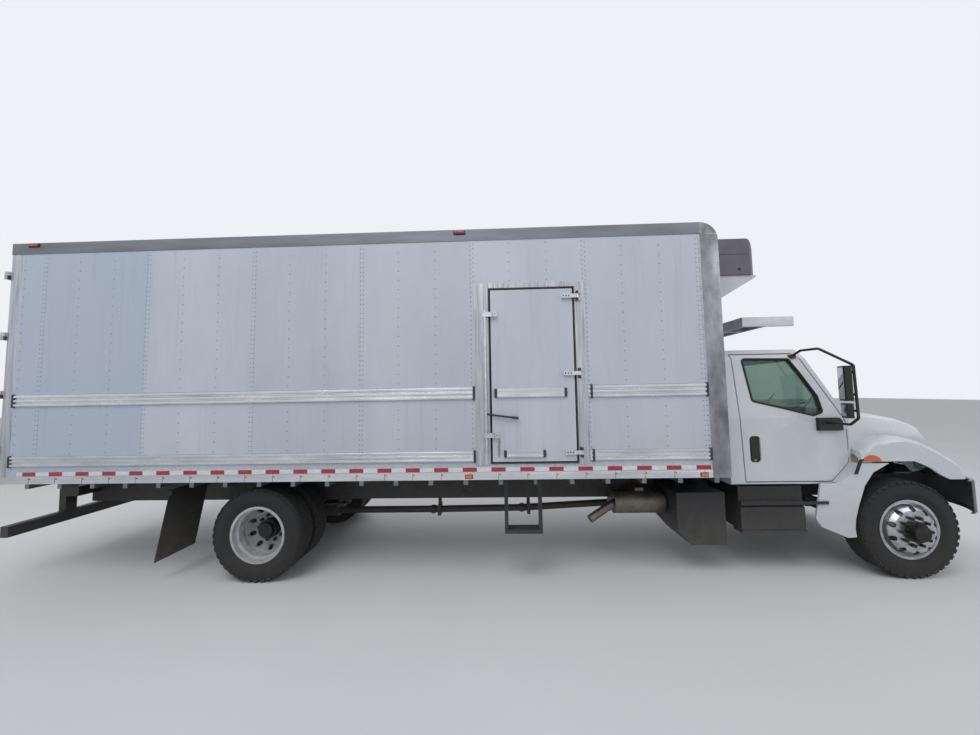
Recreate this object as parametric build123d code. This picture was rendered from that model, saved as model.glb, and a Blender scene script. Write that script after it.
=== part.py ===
from build123d import *
import os

# A two-axle refrigerated box truck with a bonneted cab. Millimetres, X forward, Y to the driver's side,
# Z up from the ground; the origin is on the ground under the middle of the truck.

# Driving dimensions of the truck
WHEELBASE = 6962
FRONT_OVERHANG = 990
CAB_BACK_TO_AXLE = 1740
CAB_GAP = 154
BOX_LENGTH = 7958
BOX_WIDTH = 2590
BOX_HEIGHT = 2724
BOX_UNDERSIDE = 1095
LOCK_ROD_PROUD = 60
TYRE_RADIUS = 500

# Stations along the truck
OVERALL_LENGTH = FRONT_OVERHANG + CAB_BACK_TO_AXLE + CAB_GAP + BOX_LENGTH + LOCK_ROD_PROUD
FRONT_AXLE_X = OVERALL_LENGTH / 2 - FRONT_OVERHANG
REAR_AXLE_X = FRONT_AXLE_X - WHEELBASE
CAB_BACK_X = FRONT_AXLE_X - CAB_BACK_TO_AXLE
BOX_FRONT_X = CAB_BACK_X - CAB_GAP
BOX_REAR_X = BOX_FRONT_X - BOX_LENGTH
BUMPER_FACE_X = FRONT_AXLE_X + FRONT_OVERHANG
BOX_TOP = BOX_UNDERSIDE + BOX_HEIGHT
BOX_HALF = BOX_WIDTH / 2

# Box body
SIDE_WALL = 90
FRONT_WALL = 100
ROOF_THICKNESS = 100
FLOOR_THICKNESS = 175
NOSE_RADIUS = 190
REAR_FRAME_DEPTH = 130
REAR_POST_WIDTH = 75
REAR_HEADER = 130
FLOOR_TOP = BOX_UNDERSIDE + FLOOR_THICKNESS
WALL_START_X = BOX_REAR_X + REAR_FRAME_DEPTH
SEAT_GAP = 0.3
DOOR_GAP = 12

# Side door and its frame
SIDE_DOOR_WIDTH = 910
SIDE_DOOR_HEIGHT = 1867
SIDE_DOOR_FRONT_X = BOX_FRONT_X - 1571
SIDE_DOOR_REAR_X = SIDE_DOOR_FRONT_X - SIDE_DOOR_WIDTH
SIDE_DOOR_TOP = FLOOR_TOP + SIDE_DOOR_HEIGHT
SIDE_DOOR_THICKNESS = 80
DOOR_LINING = 18
FRAME_PROUD = 10
FRAME_FRONT_FACE = 125
FRAME_REAR_FACE = 168
FRAME_HEAD_FACE = 63

# Rear doors
REAR_DOOR_THICKNESS = 100
REAR_DOOR_TOP = BOX_TOP - REAR_HEADER
REAR_HINGE_OUT = 20
REAR_HINGE_BACK = 30

# Scuff rails: height of the lower edge, height of the rail
RAIL_HEIGHTS = ((FLOOR_TOP + 10, 120), (FLOOR_TOP + 670, 140))
RAIL_PROUD = 22
CORNER_POST_WIDTH = 191
TOP_RAIL_HEIGHT = 129
SILL_RAIL_HEIGHT = 75
TRIM_PROUD = 6

# Chassis
FRAME_HALF = 432
RAIL_BOTTOM = 670
RAIL_DEPTH = 255
RAIL_FLANGE = 80
RAIL_WEB = 10
RAIL_TOP = RAIL_BOTTOM + RAIL_DEPTH
LONG_SILL_HEIGHT = 95
AXLE_HEIGHT = TYRE_RADIUS

# Wheels and tyres
FRONT_TRACK_HALF = 1018
DUAL_TRACK_HALF = 914.5
DUAL_SPACING = 343
TYRE_WIDTH = 280
RIM_RADIUS = 306
RIM_WIDTH = 234
DISC_OUTSET = DUAL_SPACING / 2
HAND_HOLES = 10
WHEEL_NUTS = 10
KING_PIN_Y = 880
SPINDLE_RADIUS = 34

# Cab
CAB_HALF = 1020
CAB_SILL = 950
CAB_ROOF = 2456
CAB_CROWN = 2480
CAB_BELT = 1674
CAB_WALL = 60
CAB_ROOF_HALF = 960
PILLAR_FOOT = -440
PILLAR_LEAN = 0.57
WINDSCREEN_BOW = 110
WINDSCREEN_RADIUS = 5500
COWL_Z = 1640
CAB_DOOR_GAP = 12

# Hood
HOOD_SKIN = 26
HOOD_LOW = 1012
ARCH_LINE = 1190
FENDER_HALF = 1120
HOOD_HINGE_AHEAD = 910
HOOD_HINGE_Z = 1000

# Refrigeration unit and service platform on the box's nose
UNIT_HALF = 950
UNIT_DEPTH = 634
UNIT_TOP = BOX_TOP - 54
UNIT_SPLIT = UNIT_TOP - 435
UNIT_FOOT = UNIT_TOP - 715
PLATFORM_TOP = CAB_CROWN + 350
PLATFORM_DEPTH = 110
PLATFORM_BACK = 428
PLATFORM_LENGTH = 579


def block(x_low, x_high, y_low, y_high, z_low, z_high):
    """A box between two corners."""
    middle = Pos((x_low + x_high) / 2, (y_low + y_high) / 2, (z_low + z_high) / 2)
    return middle * Box(x_high - x_low, y_high - y_low, z_high - z_low)


def outline(*points):
    """A flat face inside straight edges."""
    return make_face(Polyline(*points, close=True))


def soft_outline(radius, *points):
    """A flat face whose corners are all rounded alike."""
    return make_face(FilletPolyline(*points, radius=radius, close=True))


def thick_x(face, x_low, x_high):
    """A (y, z) face made solid along X."""
    return extrude(Plane.YZ.offset(x_low) * face, x_high - x_low)


def thick_y(face, y_low, y_high):
    """An (x, z) face made solid along Y."""
    return extrude(Plane.XZ.offset(-y_high) * face, y_high - y_low)


def thick_z(face, z_low, z_high):
    """An (x, y) face made solid along Z."""
    return extrude(Plane.XY.offset(z_low) * face, z_high - z_low)


def bar_x(radius, x_low, x_high, y, z):
    return Pos((x_low + x_high) / 2, y, z) * Rot(0, 90, 0) * Cylinder(radius, x_high - x_low)


def bar_y(radius, y_low, y_high, x, z):
    return Pos(x, (y_low + y_high) / 2, z) * Rot(90, 0, 0) * Cylinder(radius, y_high - y_low)


def bar_z(radius, z_low, z_high, x, y):
    return Pos(x, y, (z_low + z_high) / 2) * Cylinder(radius, z_high - z_low)


def rod(start, end, radius):
    """A round bar between two points."""
    way = Vector(*end) - Vector(*start)
    return extrude(Plane(origin=start, z_dir=way) * Circle(radius), way.length)


def other_side(shape):
    """The same piece on the other side of the truck."""
    return mirror(shape, about=Plane.XZ)


def both_sides(shape):
    return Part() + [shape, other_side(shape)]


# Chassis frame: two channel rails, crossmembers, the body's long sills, rear guard and tow eyes
GUARD_BOTTOM = 500
GUARD_TOP = 620
GUARD_HALF = 1240
GUARD_DEPTH = 90
GUARD_POST_Y = 575
GUARD_POST_WIDTH = 125
BRACE_DEPTH = 120
FRAME_FRONT_X = FRONT_AXLE_X + 880
CROSSMEMBER_AHEAD_OF_REAR = (700, 2200, 3700, 5200)
CROSSMEMBER_HALF = 22
CROSSMEMBER_SHY = 20
TOW_EYE_RADIUS = 20
TOW_EYE_RIM = 22
TOW_EYE_THICKNESS = 25
TOW_EYE_AHEAD = 20
TOW_EYE_Z = 598
EYE_PLATE = 260
EYE_PLATE_DROP = 60
EYE_PLATE_GAP = 8
BUMPER_LOW = 645
BUMPER_TOP = 990
BUMPER_THICKNESS = 12
BUMPER_FLANGE = 50
BRACKET_DEPTH = 60
CAB_MOUNTS = (-1600, -620)
CAB_MOUNT_HALF = 45
EAR_BACK = 40
EAR_IN = 395
EAR_OUT = 415
HINGE_EYE = 20
HINGE_PIN = 12
HINGE_PIN_REACH = 36


def tow_eye():
    """Left tow eye: a plate down the rail's inner side with a bored, rounded lug ahead of the rail."""
    y_out = FRAME_HALF - RAIL_FLANGE - SEAT_GAP
    y_in = y_out - TOW_EYE_THICKNESS
    x = FRAME_FRONT_X + TOW_EYE_AHEAD
    rim = TOW_EYE_RADIUS + TOW_EYE_RIM
    top = RAIL_TOP - EYE_PLATE_DROP
    low = RAIL_BOTTOM + CROSSMEMBER_SHY
    plate = outline((FRAME_FRONT_X - EYE_PLATE, top), (FRAME_FRONT_X - EYE_PLATE, low), (x - rim, TOW_EYE_Z),
                    (x + rim, TOW_EYE_Z), (FRAME_FRONT_X, low), (FRAME_FRONT_X, top))
    eye = thick_y(plate, y_in, y_out) + bar_y(rim, y_in, y_out, x, TOW_EYE_Z)
    return eye - bar_y(TOW_EYE_RADIUS, y_in - 1, y_out + 1, x, TOW_EYE_Z)


def hood_ear():
    """Left ear on the rail's front end, with the pin that the hood turns on."""
    x = FRONT_AXLE_X + HOOD_HINGE_AHEAD
    ear = block(FRAME_FRONT_X - EAR_BACK, x + HINGE_EYE, EAR_IN, EAR_OUT, RAIL_TOP + SEAT_GAP, HOOD_HINGE_Z)
    ear += bar_y(HINGE_EYE, EAR_IN, EAR_OUT, x, HOOD_HINGE_Z)
    return ear + bar_y(HINGE_PIN, EAR_IN - HINGE_PIN_REACH, EAR_OUT, x, HOOD_HINGE_Z)


def rear_guard():
    """Guard bar behind the rear axle on two posts, each tied forward to the rail."""
    front = BOX_REAR_X + GUARD_DEPTH
    post_out = GUARD_POST_Y + GUARD_POST_WIDTH
    bar = block(BOX_REAR_X, front, -GUARD_HALF, GUARD_HALF, GUARD_BOTTOM, GUARD_TOP)
    post = block(BOX_REAR_X, front, GUARD_POST_Y, post_out, GUARD_TOP + SEAT_GAP, BOX_UNDERSIDE - SEAT_GAP)
    brace = block(front + SEAT_GAP, WALL_START_X + BRACE_DEPTH, FRAME_HALF + SEAT_GAP, post_out,
                  RAIL_TOP - BRACE_DEPTH, RAIL_TOP)
    return [bar, both_sides(post), both_sides(brace)]


def chassis_frame():
    y_out = FRAME_HALF
    y_in = FRAME_HALF - RAIL_FLANGE
    web_in = y_out - RAIL_WEB
    channel = outline(
        (y_in, RAIL_BOTTOM), (y_out, RAIL_BOTTOM), (y_out, RAIL_TOP), (y_in, RAIL_TOP),
        (y_in, RAIL_TOP - RAIL_WEB), (web_in, RAIL_TOP - RAIL_WEB),
        (web_in, RAIL_BOTTOM + RAIL_WEB), (y_in, RAIL_BOTTOM + RAIL_WEB))
    on_rail = RAIL_TOP + SEAT_GAP
    rail = thick_x(channel, WALL_START_X, FRAME_FRONT_X)
    sill = block(WALL_START_X, BOX_FRONT_X, y_in, y_out, on_rail, RAIL_TOP + LONG_SILL_HEIGHT)
    bracket = block(FRAME_FRONT_X + SEAT_GAP, BUMPER_FACE_X - BUMPER_THICKNESS - SEAT_GAP, y_in, y_out,
                    RAIL_BOTTOM + BRACKET_DEPTH, RAIL_TOP)
    pairs = [rail, sill, bracket, tow_eye(), hood_ear()]
    for ahead in CAB_MOUNTS:
        x = FRONT_AXLE_X + ahead
        pairs.append(block(x - CAB_MOUNT_HALF, x + CAB_MOUNT_HALF, y_in, y_out, on_rail, CAB_SILL - SEAT_GAP))
    members = [both_sides(pair) for pair in pairs] + rear_guard()
    stations = [BOX_REAR_X + ahead for ahead in CROSSMEMBER_AHEAD_OF_REAR]
    stations.append(FRAME_FRONT_X - EYE_PLATE - CROSSMEMBER_HALF - EYE_PLATE_GAP)
    span = web_in - SEAT_GAP
    for x in stations:
        members.append(block(x - CROSSMEMBER_HALF, x + CROSSMEMBER_HALF, -span, span,
                             RAIL_BOTTOM + CROSSMEMBER_SHY, RAIL_TOP - CROSSMEMBER_SHY))
    return Part() + members


# Mudflaps behind the rear wheels, leaning back from their hangers
FLAP_BEHIND_AXLE = 998
FLAP_LEAN = 140
FLAP_TOP = 940
FLAP_BOTTOM = 215
FLAP_IN = 680
FLAP_OUT = 1220
FLAP_THICKNESS = 10
HANGER_BACK = 25
HANGER_FRONT = 35
HANGER_HEIGHT = 50


def mudflaps():
    x = REAR_AXLE_X - FLAP_BEHIND_AXLE
    sheet = outline((x, FLAP_TOP), (x + FLAP_THICKNESS, FLAP_TOP),
                    (x - FLAP_LEAN + FLAP_THICKNESS, FLAP_BOTTOM), (x - FLAP_LEAN, FLAP_BOTTOM))
    flap = thick_y(sheet, FLAP_IN, FLAP_OUT)
    hanger = block(x - HANGER_BACK, x + HANGER_FRONT, FRAME_HALF + SEAT_GAP, FLAP_OUT,
                   FLAP_TOP, FLAP_TOP + HANGER_HEIGHT)
    return Part() + both_sides(flap + hanger)


# Drive line: pinion flange to the gearbox, in three shafts with two hanger bearings
SHAFT_RADIUS = 45
JOINT_RADIUS = 59
SHAFT_STATIONS = ((-2110, 400), (-779, 402), (451, 415), (3230, 560))
BEARING_RADIUS = 57
BEARING_AHEAD = 90
HANGER_HALF_LENGTH = 20
HANGER_HALF_WIDTH = 90
HANGER_STRAP_HALF = 30
CARRIER_HALF_LENGTH = 30
CARRIER_HEIGHT = 50


def shaft_hanger(x, z):
    """Bearing eye on its strap under a crossbar between the rails."""
    span = FRAME_HALF - RAIL_WEB - SEAT_GAP
    flange_top = RAIL_BOTTOM + RAIL_WEB
    back = x - HANGER_HALF_LENGTH
    front = x + HANGER_HALF_LENGTH
    eye = block(back, front, -HANGER_HALF_WIDTH, HANGER_HALF_WIDTH, z - 70, z + 70)
    eye += block(back, front, -HANGER_STRAP_HALF, HANGER_STRAP_HALF, z, flange_top)
    eye -= bar_x(BEARING_RADIUS, back - 1, front + 1, 0, z)
    bearing = bar_x(BEARING_RADIUS - SEAT_GAP, back + 2, front - 2, 0, z)
    carrier = block(x - CARRIER_HALF_LENGTH, x + CARRIER_HALF_LENGTH, -span, span,
                    flange_top + SEAT_GAP, flange_top + CARRIER_HEIGHT)
    return eye, bearing, carrier


def driveshaft():
    line = []
    for (x0, z0), (x1, z1) in zip(SHAFT_STATIONS, SHAFT_STATIONS[1:]):
        line.append(rod((x0, 0, z0), (x1, 0, z1), SHAFT_RADIUS))
    for x, z in SHAFT_STATIONS[1:3]:
        line.append(Pos(x, 0, z) * Sphere(JOINT_RADIUS))
    shafts = Part() + line
    supports = []
    for x, z in SHAFT_STATIONS[1:3]:
        eye, bearing, carrier = shaft_hanger(x + BEARING_AHEAD, z + 4)
        supports += [eye, bearing - shafts, carrier]
    return Part() + [shafts] + supports


# Engine as one plain block with its gearbox and output flange
ENGINE_BEHIND_AXLE = 300
ENGINE_AHEAD_OF_AXLE = 560
ENGINE_TOP = 1400
SUMP_ABOVE_RAIL_FOOT = 60
GEARBOX_HALF = 190
GEARBOX_LOW = 470
GEARBOX_UNDER_CAB = 20
FLANGE_RADIUS = 80
FLANGE_LENGTH = 40
SHAFT_END_GAP = 3


def engine():
    half = FRAME_HALF - RAIL_FLANGE - SEAT_GAP
    back = FRONT_AXLE_X - ENGINE_BEHIND_AXLE
    shaft_x, shaft_z = SHAFT_STATIONS[3]
    body = block(back, FRONT_AXLE_X + ENGINE_AHEAD_OF_AXLE, -half, half,
                 RAIL_BOTTOM + SUMP_ABOVE_RAIL_FOOT, ENGINE_TOP)
    gearbox = block(shaft_x + FLANGE_LENGTH - 10, back, -GEARBOX_HALF, GEARBOX_HALF, GEARBOX_LOW,
                    CAB_SILL - GEARBOX_UNDER_CAB)
    flange = bar_x(FLANGE_RADIUS, shaft_x + SHAFT_END_GAP, shaft_x + FLANGE_LENGTH, 0, shaft_z)
    return Part() + [body, gearbox, flange]


# Exhaust: after-treatment canister on the right rail and a tail pipe turned outwards.
# Pipe joints are (behind the box's front, distance out, height).
CAN_RADIUS = 125
CAN_Z = 690
CAN_OUT = 720
CAN_FRONT = 490
CAN_BACK = 1070
CAN_BRACKET = (700, 800)
CAN_BRACKET_Z = (780, 850)
PIPE_RADIUS = 45
ELBOW = (1140, 860, 690)
TAIL_START = (1125, 845, 695)
TAIL_END = (1390, 930, 560)


def exhaust():
    def at(place):
        behind, out, z = place
        return BOX_FRONT_X - behind, -out, z
    can = bar_x(CAN_RADIUS, BOX_FRONT_X - CAN_BACK, BOX_FRONT_X - CAN_FRONT, -CAN_OUT, CAN_Z)
    bracket = block(BOX_FRONT_X - CAN_BRACKET[1], BOX_FRONT_X - CAN_BRACKET[0], -CAN_OUT, -FRAME_HALF - SEAT_GAP,
                    *CAN_BRACKET_Z)
    pipe = rod(at((CAN_BACK, CAN_OUT + 40, CAN_Z)), at(ELBOW), PIPE_RADIUS)
    tail = rod(at(TAIL_START), at(TAIL_END), PIPE_RADIUS)
    return Part() + [can, bracket, pipe, tail]


# Battery box on the right, fuel tank on the left, both with the cab's steps; chiller box and drop step
STEP_BOX_BACK = -1690
STEP_BOX_FRONT = -1010
STEP_BOX_BOTTOM = 480
STEP_BOX_TOP = 935
STEP_OUT = 1085
TREAD_DEPTH = 160
UPPER_TREAD_Z = (745, 780)
LOWER_TREAD_DROP = 30
HORN_LENGTH = 250
HORN_WIDTH = 15
BOX_TUCK = 40
TANK_RADIUS = 120
REAR_BOX_OUT = 1060
REAR_BOX_SIDE = ((-470, 880), (50, 880), (50, 320), (-330, 320), (-470, 480))
DROP_STEP_AHEAD = 125
DROP_STEP_LENGTH = 400
DROP_STEP_Z = (525, 565)
DROP_STEP_Y = (30, 185)
DROP_LEG = 40


def cab_steps():
    """Left treads: the upper one with its horn ahead, the lower one under the box."""
    x0 = FRONT_AXLE_X + STEP_BOX_BACK
    x1 = FRONT_AXLE_X + STEP_BOX_FRONT
    low, high = UPPER_TREAD_Z
    upper = block(x0, x1, STEP_OUT - TREAD_DEPTH, STEP_OUT, low, high)
    horn = block(x1, x1 + HORN_LENGTH, STEP_OUT - HORN_WIDTH, STEP_OUT, low + 5, high)
    lower = block(x0, x1, STEP_OUT - TREAD_DEPTH, STEP_OUT + 5, STEP_BOX_BOTTOM - LOWER_TREAD_DROP, STEP_BOX_BOTTOM)
    return upper + horn + lower


def battery_box():
    """Left-hand form of the box: square above, stepped in under the upper tread, cut back at its inner foot."""
    inner = FRAME_HALF + SEAT_GAP
    outer = STEP_OUT - BOX_TUCK
    knee = UPPER_TREAD_Z[0]
    face = outline((outer, STEP_BOX_TOP), (inner, STEP_BOX_TOP), (inner, STEP_BOX_BOTTOM + 140),
                   (inner + 130, STEP_BOX_BOTTOM), (outer + 30, STEP_BOX_BOTTOM), (outer + 30, knee - 25),
                   (outer, knee - 5))
    return thick_x(face, FRONT_AXLE_X + STEP_BOX_BACK, FRONT_AXLE_X + STEP_BOX_FRONT)


def fuel_tank():
    """Rounded tank against the left rail, bulged a little at its ends."""
    inner = FRAME_HALF + SEAT_GAP
    outer = STEP_OUT - BOX_TUCK
    face = soft_outline(TANK_RADIUS, (inner, STEP_BOX_BOTTOM), (outer, STEP_BOX_BOTTOM), (outer, STEP_BOX_TOP),
                        (inner, STEP_BOX_TOP))
    return thick_x(face, FRONT_AXLE_X + STEP_BOX_BACK, FRONT_AXLE_X + STEP_BOX_FRONT)


def drop_step():
    """Step under the side door on two hangers from the box."""
    x = SIDE_DOOR_REAR_X + DROP_STEP_AHEAD
    y = -BOX_HALF
    y_in = DROP_STEP_Y[0] + DROP_LEG
    pieces = [block(x, x + DROP_STEP_LENGTH, y + DROP_STEP_Y[0], y + DROP_STEP_Y[1], *DROP_STEP_Z)]
    for start in (x, x + DROP_STEP_LENGTH - DROP_LEG):
        pieces.append(block(start, start + DROP_LEG, y + y_in - DROP_LEG + 15, y + y_in + 15, DROP_STEP_Z[1],
                            BOX_UNDERSIDE - SEAT_GAP))
    return pieces


def tanks_and_steps():
    left = cab_steps() + fuel_tank()
    right = other_side(cab_steps() + battery_box())
    side = outline(*[(BOX_FRONT_X + x, z) for x, z in REAR_BOX_SIDE])
    rear_box = thick_y(side, -REAR_BOX_OUT, -FRAME_HALF - SEAT_GAP)
    return Part() + [left, right, rear_box] + drop_step()


# Axles: dropped I-beam in front, tube with its differential at the rear, each on two packs of leaves
BEAM_HEIGHT = 130
BEAM_DROP = 125
BEAM_HALF = 45
BEAM_LOW_HALF = 650
EYE_RADIUS = 60
EYE_HALF_HEIGHT = 62
PIN_RADIUS = 22
SPRING_Y = 410
SPRING_HALF_WIDTH = 40
LEAF_STEP = 0.16
FRONT_LEAVES = {"half_length": 620, "count": 4, "thickness": 16}
REAR_LEAVES = {"half_length": 700, "count": 5, "thickness": 10}
SEAT_HALF_WIDTH = 45
SHACKLE_HALF = 30
TUBE_RADIUS = 70
BOWL_RADIUS = 205
NOSE_RADIUS_OF_AXLE = 105


def leaf_pack(x_mid, z_mid, half_length, count, thickness):
    """Leaves stacked under the longest one, each shorter than the one above."""
    pack = []
    for index in range(count):
        reach = half_length * (1 - LEAF_STEP * index)
        z = z_mid - index * thickness
        pack.append(block(x_mid - reach, x_mid + reach, SPRING_Y - SPRING_HALF_WIDTH,
                          SPRING_Y + SPRING_HALF_WIDTH, z - thickness, z))
    return pack


def spring_hangers(x, reach, z_low):
    """Hangers at both ends of a pack, up to the underside of the left rail."""
    y_out = FRAME_HALF
    hangers = []
    for end in (-1, 1):
        middle = x + end * reach
        hangers.append(block(middle - SHACKLE_HALF, middle + SHACKLE_HALF, SPRING_Y - SPRING_HALF_WIDTH, y_out,
                             z_low, RAIL_BOTTOM - SEAT_GAP))
    return hangers


def front_axle():
    low = AXLE_HEIGHT - BEAM_DROP
    x = FRONT_AXLE_X
    end = KING_PIN_Y - EYE_RADIUS / 2
    eye_low = AXLE_HEIGHT - EYE_HALF_HEIGHT
    eye_top = AXLE_HEIGHT + EYE_HALF_HEIGHT
    beam = thick_x(outline((-end, eye_low), (-BEAM_LOW_HALF, low), (BEAM_LOW_HALF, low), (end, eye_low),
                           (end, eye_top), (BEAM_LOW_HALF - 10, low + BEAM_HEIGHT),
                           (10 - BEAM_LOW_HALF, low + BEAM_HEIGHT), (-end, eye_top)), x - BEAM_HALF, x + BEAM_HALF)
    flute = thick_x(outline((-BEAM_LOW_HALF + 40, low + 30), (BEAM_LOW_HALF - 40, low + 30),
                            (BEAM_LOW_HALF - 60, low + BEAM_HEIGHT - 30),
                            (60 - BEAM_LOW_HALF, low + BEAM_HEIGHT - 30)), x + BEAM_HALF - 25, x + BEAM_HALF + 1)
    beam = beam - flute - mirror(flute, about=Plane.YZ.offset(x))
    spring_z = low + BEAM_HEIGHT + 66
    springs = leaf_pack(x, spring_z, **FRONT_LEAVES)
    seat = block(x - 90, x + 90, SPRING_Y - SEAT_HALF_WIDTH, SPRING_Y + SEAT_HALF_WIDTH,
                 low + BEAM_HEIGHT - 5, spring_z - 60)
    side = Part() + springs + [seat] + spring_hangers(x, FRONT_LEAVES["half_length"] - 20, spring_z - 10)
    eye = bar_z(EYE_RADIUS, eye_low, eye_top, x, KING_PIN_Y)
    bore = bar_z(PIN_RADIUS + SEAT_GAP, eye_low - 1, eye_top + 1, x, KING_PIN_Y)
    return (Part() + [beam, both_sides(side), both_sides(eye)]) - both_sides(bore)


def rear_axle():
    x = REAR_AXLE_X
    half = DUAL_TRACK_HALF
    shaft_x, shaft_z = SHAFT_STATIONS[0]
    tube = bar_y(TUBE_RADIUS, -half + 68, half - 68, x, AXLE_HEIGHT)
    spindles = bar_y(SPINDLE_RADIUS, -half - 140, half + 140, x, AXLE_HEIGHT)
    bowl = Pos(x, 0, AXLE_HEIGHT - 20) * Sphere(BOWL_RADIUS)
    nose = bar_x(NOSE_RADIUS_OF_AXLE, x, shaft_x - SEAT_GAP, 0, shaft_z + 30)
    spring_z = RAIL_BOTTOM - 50
    springs = leaf_pack(x, spring_z, **REAR_LEAVES)
    seat = block(x - 80, x + 80, SPRING_Y - SEAT_HALF_WIDTH, SPRING_Y + SEAT_HALF_WIDTH, AXLE_HEIGHT, spring_z - 45)
    side = Part() + springs + [seat] + spring_hangers(x, REAR_LEAVES["half_length"] - 20, spring_z - 5)
    return Part() + [tube, spindles, bowl, nose, both_sides(side)]


FORK_Z = ((-110, -68), (68, 110))
FORK_HALF = 48
FORK_REACH = 95
KNUCKLE_FLANGE = 115


def knuckle():
    """Left steering knuckle: fork round the beam's eye, king pin, flange and spindle."""
    x = FRONT_AXLE_X
    y = KING_PIN_Y
    pieces = [bar_z(PIN_RADIUS, AXLE_HEIGHT + FORK_Z[0][0], AXLE_HEIGHT + FORK_Z[1][1], x, y)]
    for low, high in FORK_Z:
        pieces.append(bar_z(FORK_HALF, AXLE_HEIGHT + low, AXLE_HEIGHT + high, x, y))
        pieces.append(block(x - FORK_HALF, x + FORK_HALF, y, y + FORK_REACH, AXLE_HEIGHT + low, AXLE_HEIGHT + high))
    pieces.append(bar_y(KNUCKLE_FLANGE, y + FORK_REACH - 25, y + FORK_REACH, x, AXLE_HEIGHT))
    pieces.append(bar_y(SPINDLE_RADIUS, y + FORK_REACH - 5, FRONT_TRACK_HALF + DISC_OUTSET + 40, x, AXLE_HEIGHT))
    return Part() + pieces


# Wheels, modelled with the axle along Y and outboard towards +Y; profile points are (radius, y)
TYRE_TREAD_HALF = 108
BEAD_RADIUS = RIM_RADIUS - 16
BEAD_HALF = 98
SIDEWALL_RADIUS = 370
SHOULDER_DROP = 18
HAND_HOLE_RADIUS = 27
HAND_HOLE_CIRCLE = 225
NUT_CIRCLE = 143
NUT_RADIUS = 18
NUT_LENGTH = 32
PILOT_RADIUS = 108
HUB_CAP_RADIUS = 80
DRUM_RADIUS = 205
DRUM_WALL = 15


def tyre_ring():
    """Tyre section: beads on the rim's seats, bulged sidewalls and a flat tread."""
    half = TYRE_WIDTH / 2
    r = TYRE_RADIUS
    right = [(BEAD_RADIUS, BEAD_HALF), (RIM_RADIUS + SEAT_GAP, BEAD_HALF + 4), (RIM_RADIUS + 3, BEAD_HALF + 14),
             (SIDEWALL_RADIUS, half), (SIDEWALL_RADIUS + 50, half - 4), (r - SHOULDER_DROP, TYRE_TREAD_HALF + 14),
             (r, TYRE_TREAD_HALF)]
    left = [(radius, -y) for radius, y in reversed(right)]
    return revolve(outline(*(right + left)), Axis.Y, 360)


def rim_and_disc(disc_side):
    """Disc wheel: barrel with two flanges and a dished disc towards disc_side."""
    half = RIM_WIDTH / 2
    r = RIM_RADIUS
    seat = BEAD_RADIUS - SEAT_GAP
    wall = 10
    well = 22
    barrel = outline((r, half), (r, half - 14), (seat, half - 18), (seat, 62), (seat - well, 44), (seat - well, -44),
                     (seat, -62), (seat, -half + 18), (r, -half + 14), (r, -half), (seat - wall, -half),
                     (seat - wall, -58), (seat - well - wall, -42), (seat - well - wall, 42), (seat - wall, 58),
                     (seat - wall, half))
    face = DISC_OUTSET
    plate = 14
    disc = outline((seat - 8, 86), (seat - 30, 92), (246, 140), (215, face), (PILOT_RADIUS, face),
                   (PILOT_RADIUS, face - plate), (208, face - plate), (236, 126), (seat - 34, 76), (seat - 8, 70))
    wheel = revolve(barrel, Axis.Y, 360) + revolve(disc, Axis.Y, 360)
    for count in range(HAND_HOLES):
        turn = Rot(0, 360 * (count + 0.5) / HAND_HOLES, 0)
        wheel -= turn * bar_y(HAND_HOLE_RADIUS, 80, face + 20, HAND_HOLE_CIRCLE, 0)
    if disc_side < 0:
        wheel = mirror(wheel, about=Plane.XZ)
    return wheel


def nut_ring(y_low):
    nuts = []
    middle = y_low + NUT_LENGTH / 2
    for count in range(WHEEL_NUTS):
        turn = Rot(0, 360 * count / WHEEL_NUTS, 0)
        nuts.append(turn * (Pos(NUT_CIRCLE, middle, 0) * Rot(90, 0, 0)
                            * extrude(RegularPolygon(NUT_RADIUS, 6), NUT_LENGTH / 2, both=True)))
    return nuts


def front_wheel():
    face = DISC_OUTSET
    hub = bar_y(PILOT_RADIUS - SEAT_GAP, 30, face + 35, 0, 0) + bar_y(HUB_CAP_RADIUS, face + 30, face + 78, 0, 0)
    drum = bar_y(DRUM_RADIUS, -40, 75, 0, 0) - bar_y(DRUM_RADIUS - DRUM_WALL, -45, 60, 0, 0)
    web = bar_y(150, 60, face - 14, 0, 0)
    wheel = Part() + [rim_and_disc(1), hub, drum, web] + nut_ring(face)
    return wheel - bar_y(SPINDLE_RADIUS + SEAT_GAP, -60, face + 45, 0, 0)


def rear_wheel_pair():
    """Outer and inner disc wheels back to back on one hub, its drum inboard; Y is 0 between them."""
    spread = DUAL_SPACING / 2
    outer = Pos(0, spread, 0) * rim_and_disc(-1)
    inner = Pos(0, -spread, 0) * rim_and_disc(1)
    hub = bar_y(PILOT_RADIUS, -60, 105, 0, 0) + bar_y(HUB_CAP_RADIUS, 100, 150, 0, 0)
    drum = bar_y(DRUM_RADIUS, -235, -20, 0, 0) - bar_y(DRUM_RADIUS - DRUM_WALL, -240, -34, 0, 0)
    pair = Part() + [outer, inner, hub, drum] + nut_ring(14)
    return pair - bar_y(SPINDLE_RADIUS + SEAT_GAP, -70, 142, 0, 0)


FRONT_PLACE = Pos(FRONT_AXLE_X, FRONT_TRACK_HALF, AXLE_HEIGHT)
REAR_PLACE = Pos(REAR_AXLE_X, DUAL_TRACK_HALF, AXLE_HEIGHT)


def twin_tyres():
    spread = DUAL_SPACING / 2
    return Part() + [Pos(0, spread, 0) * tyre_ring(), Pos(0, -spread, 0) * tyre_ring()]


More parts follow.
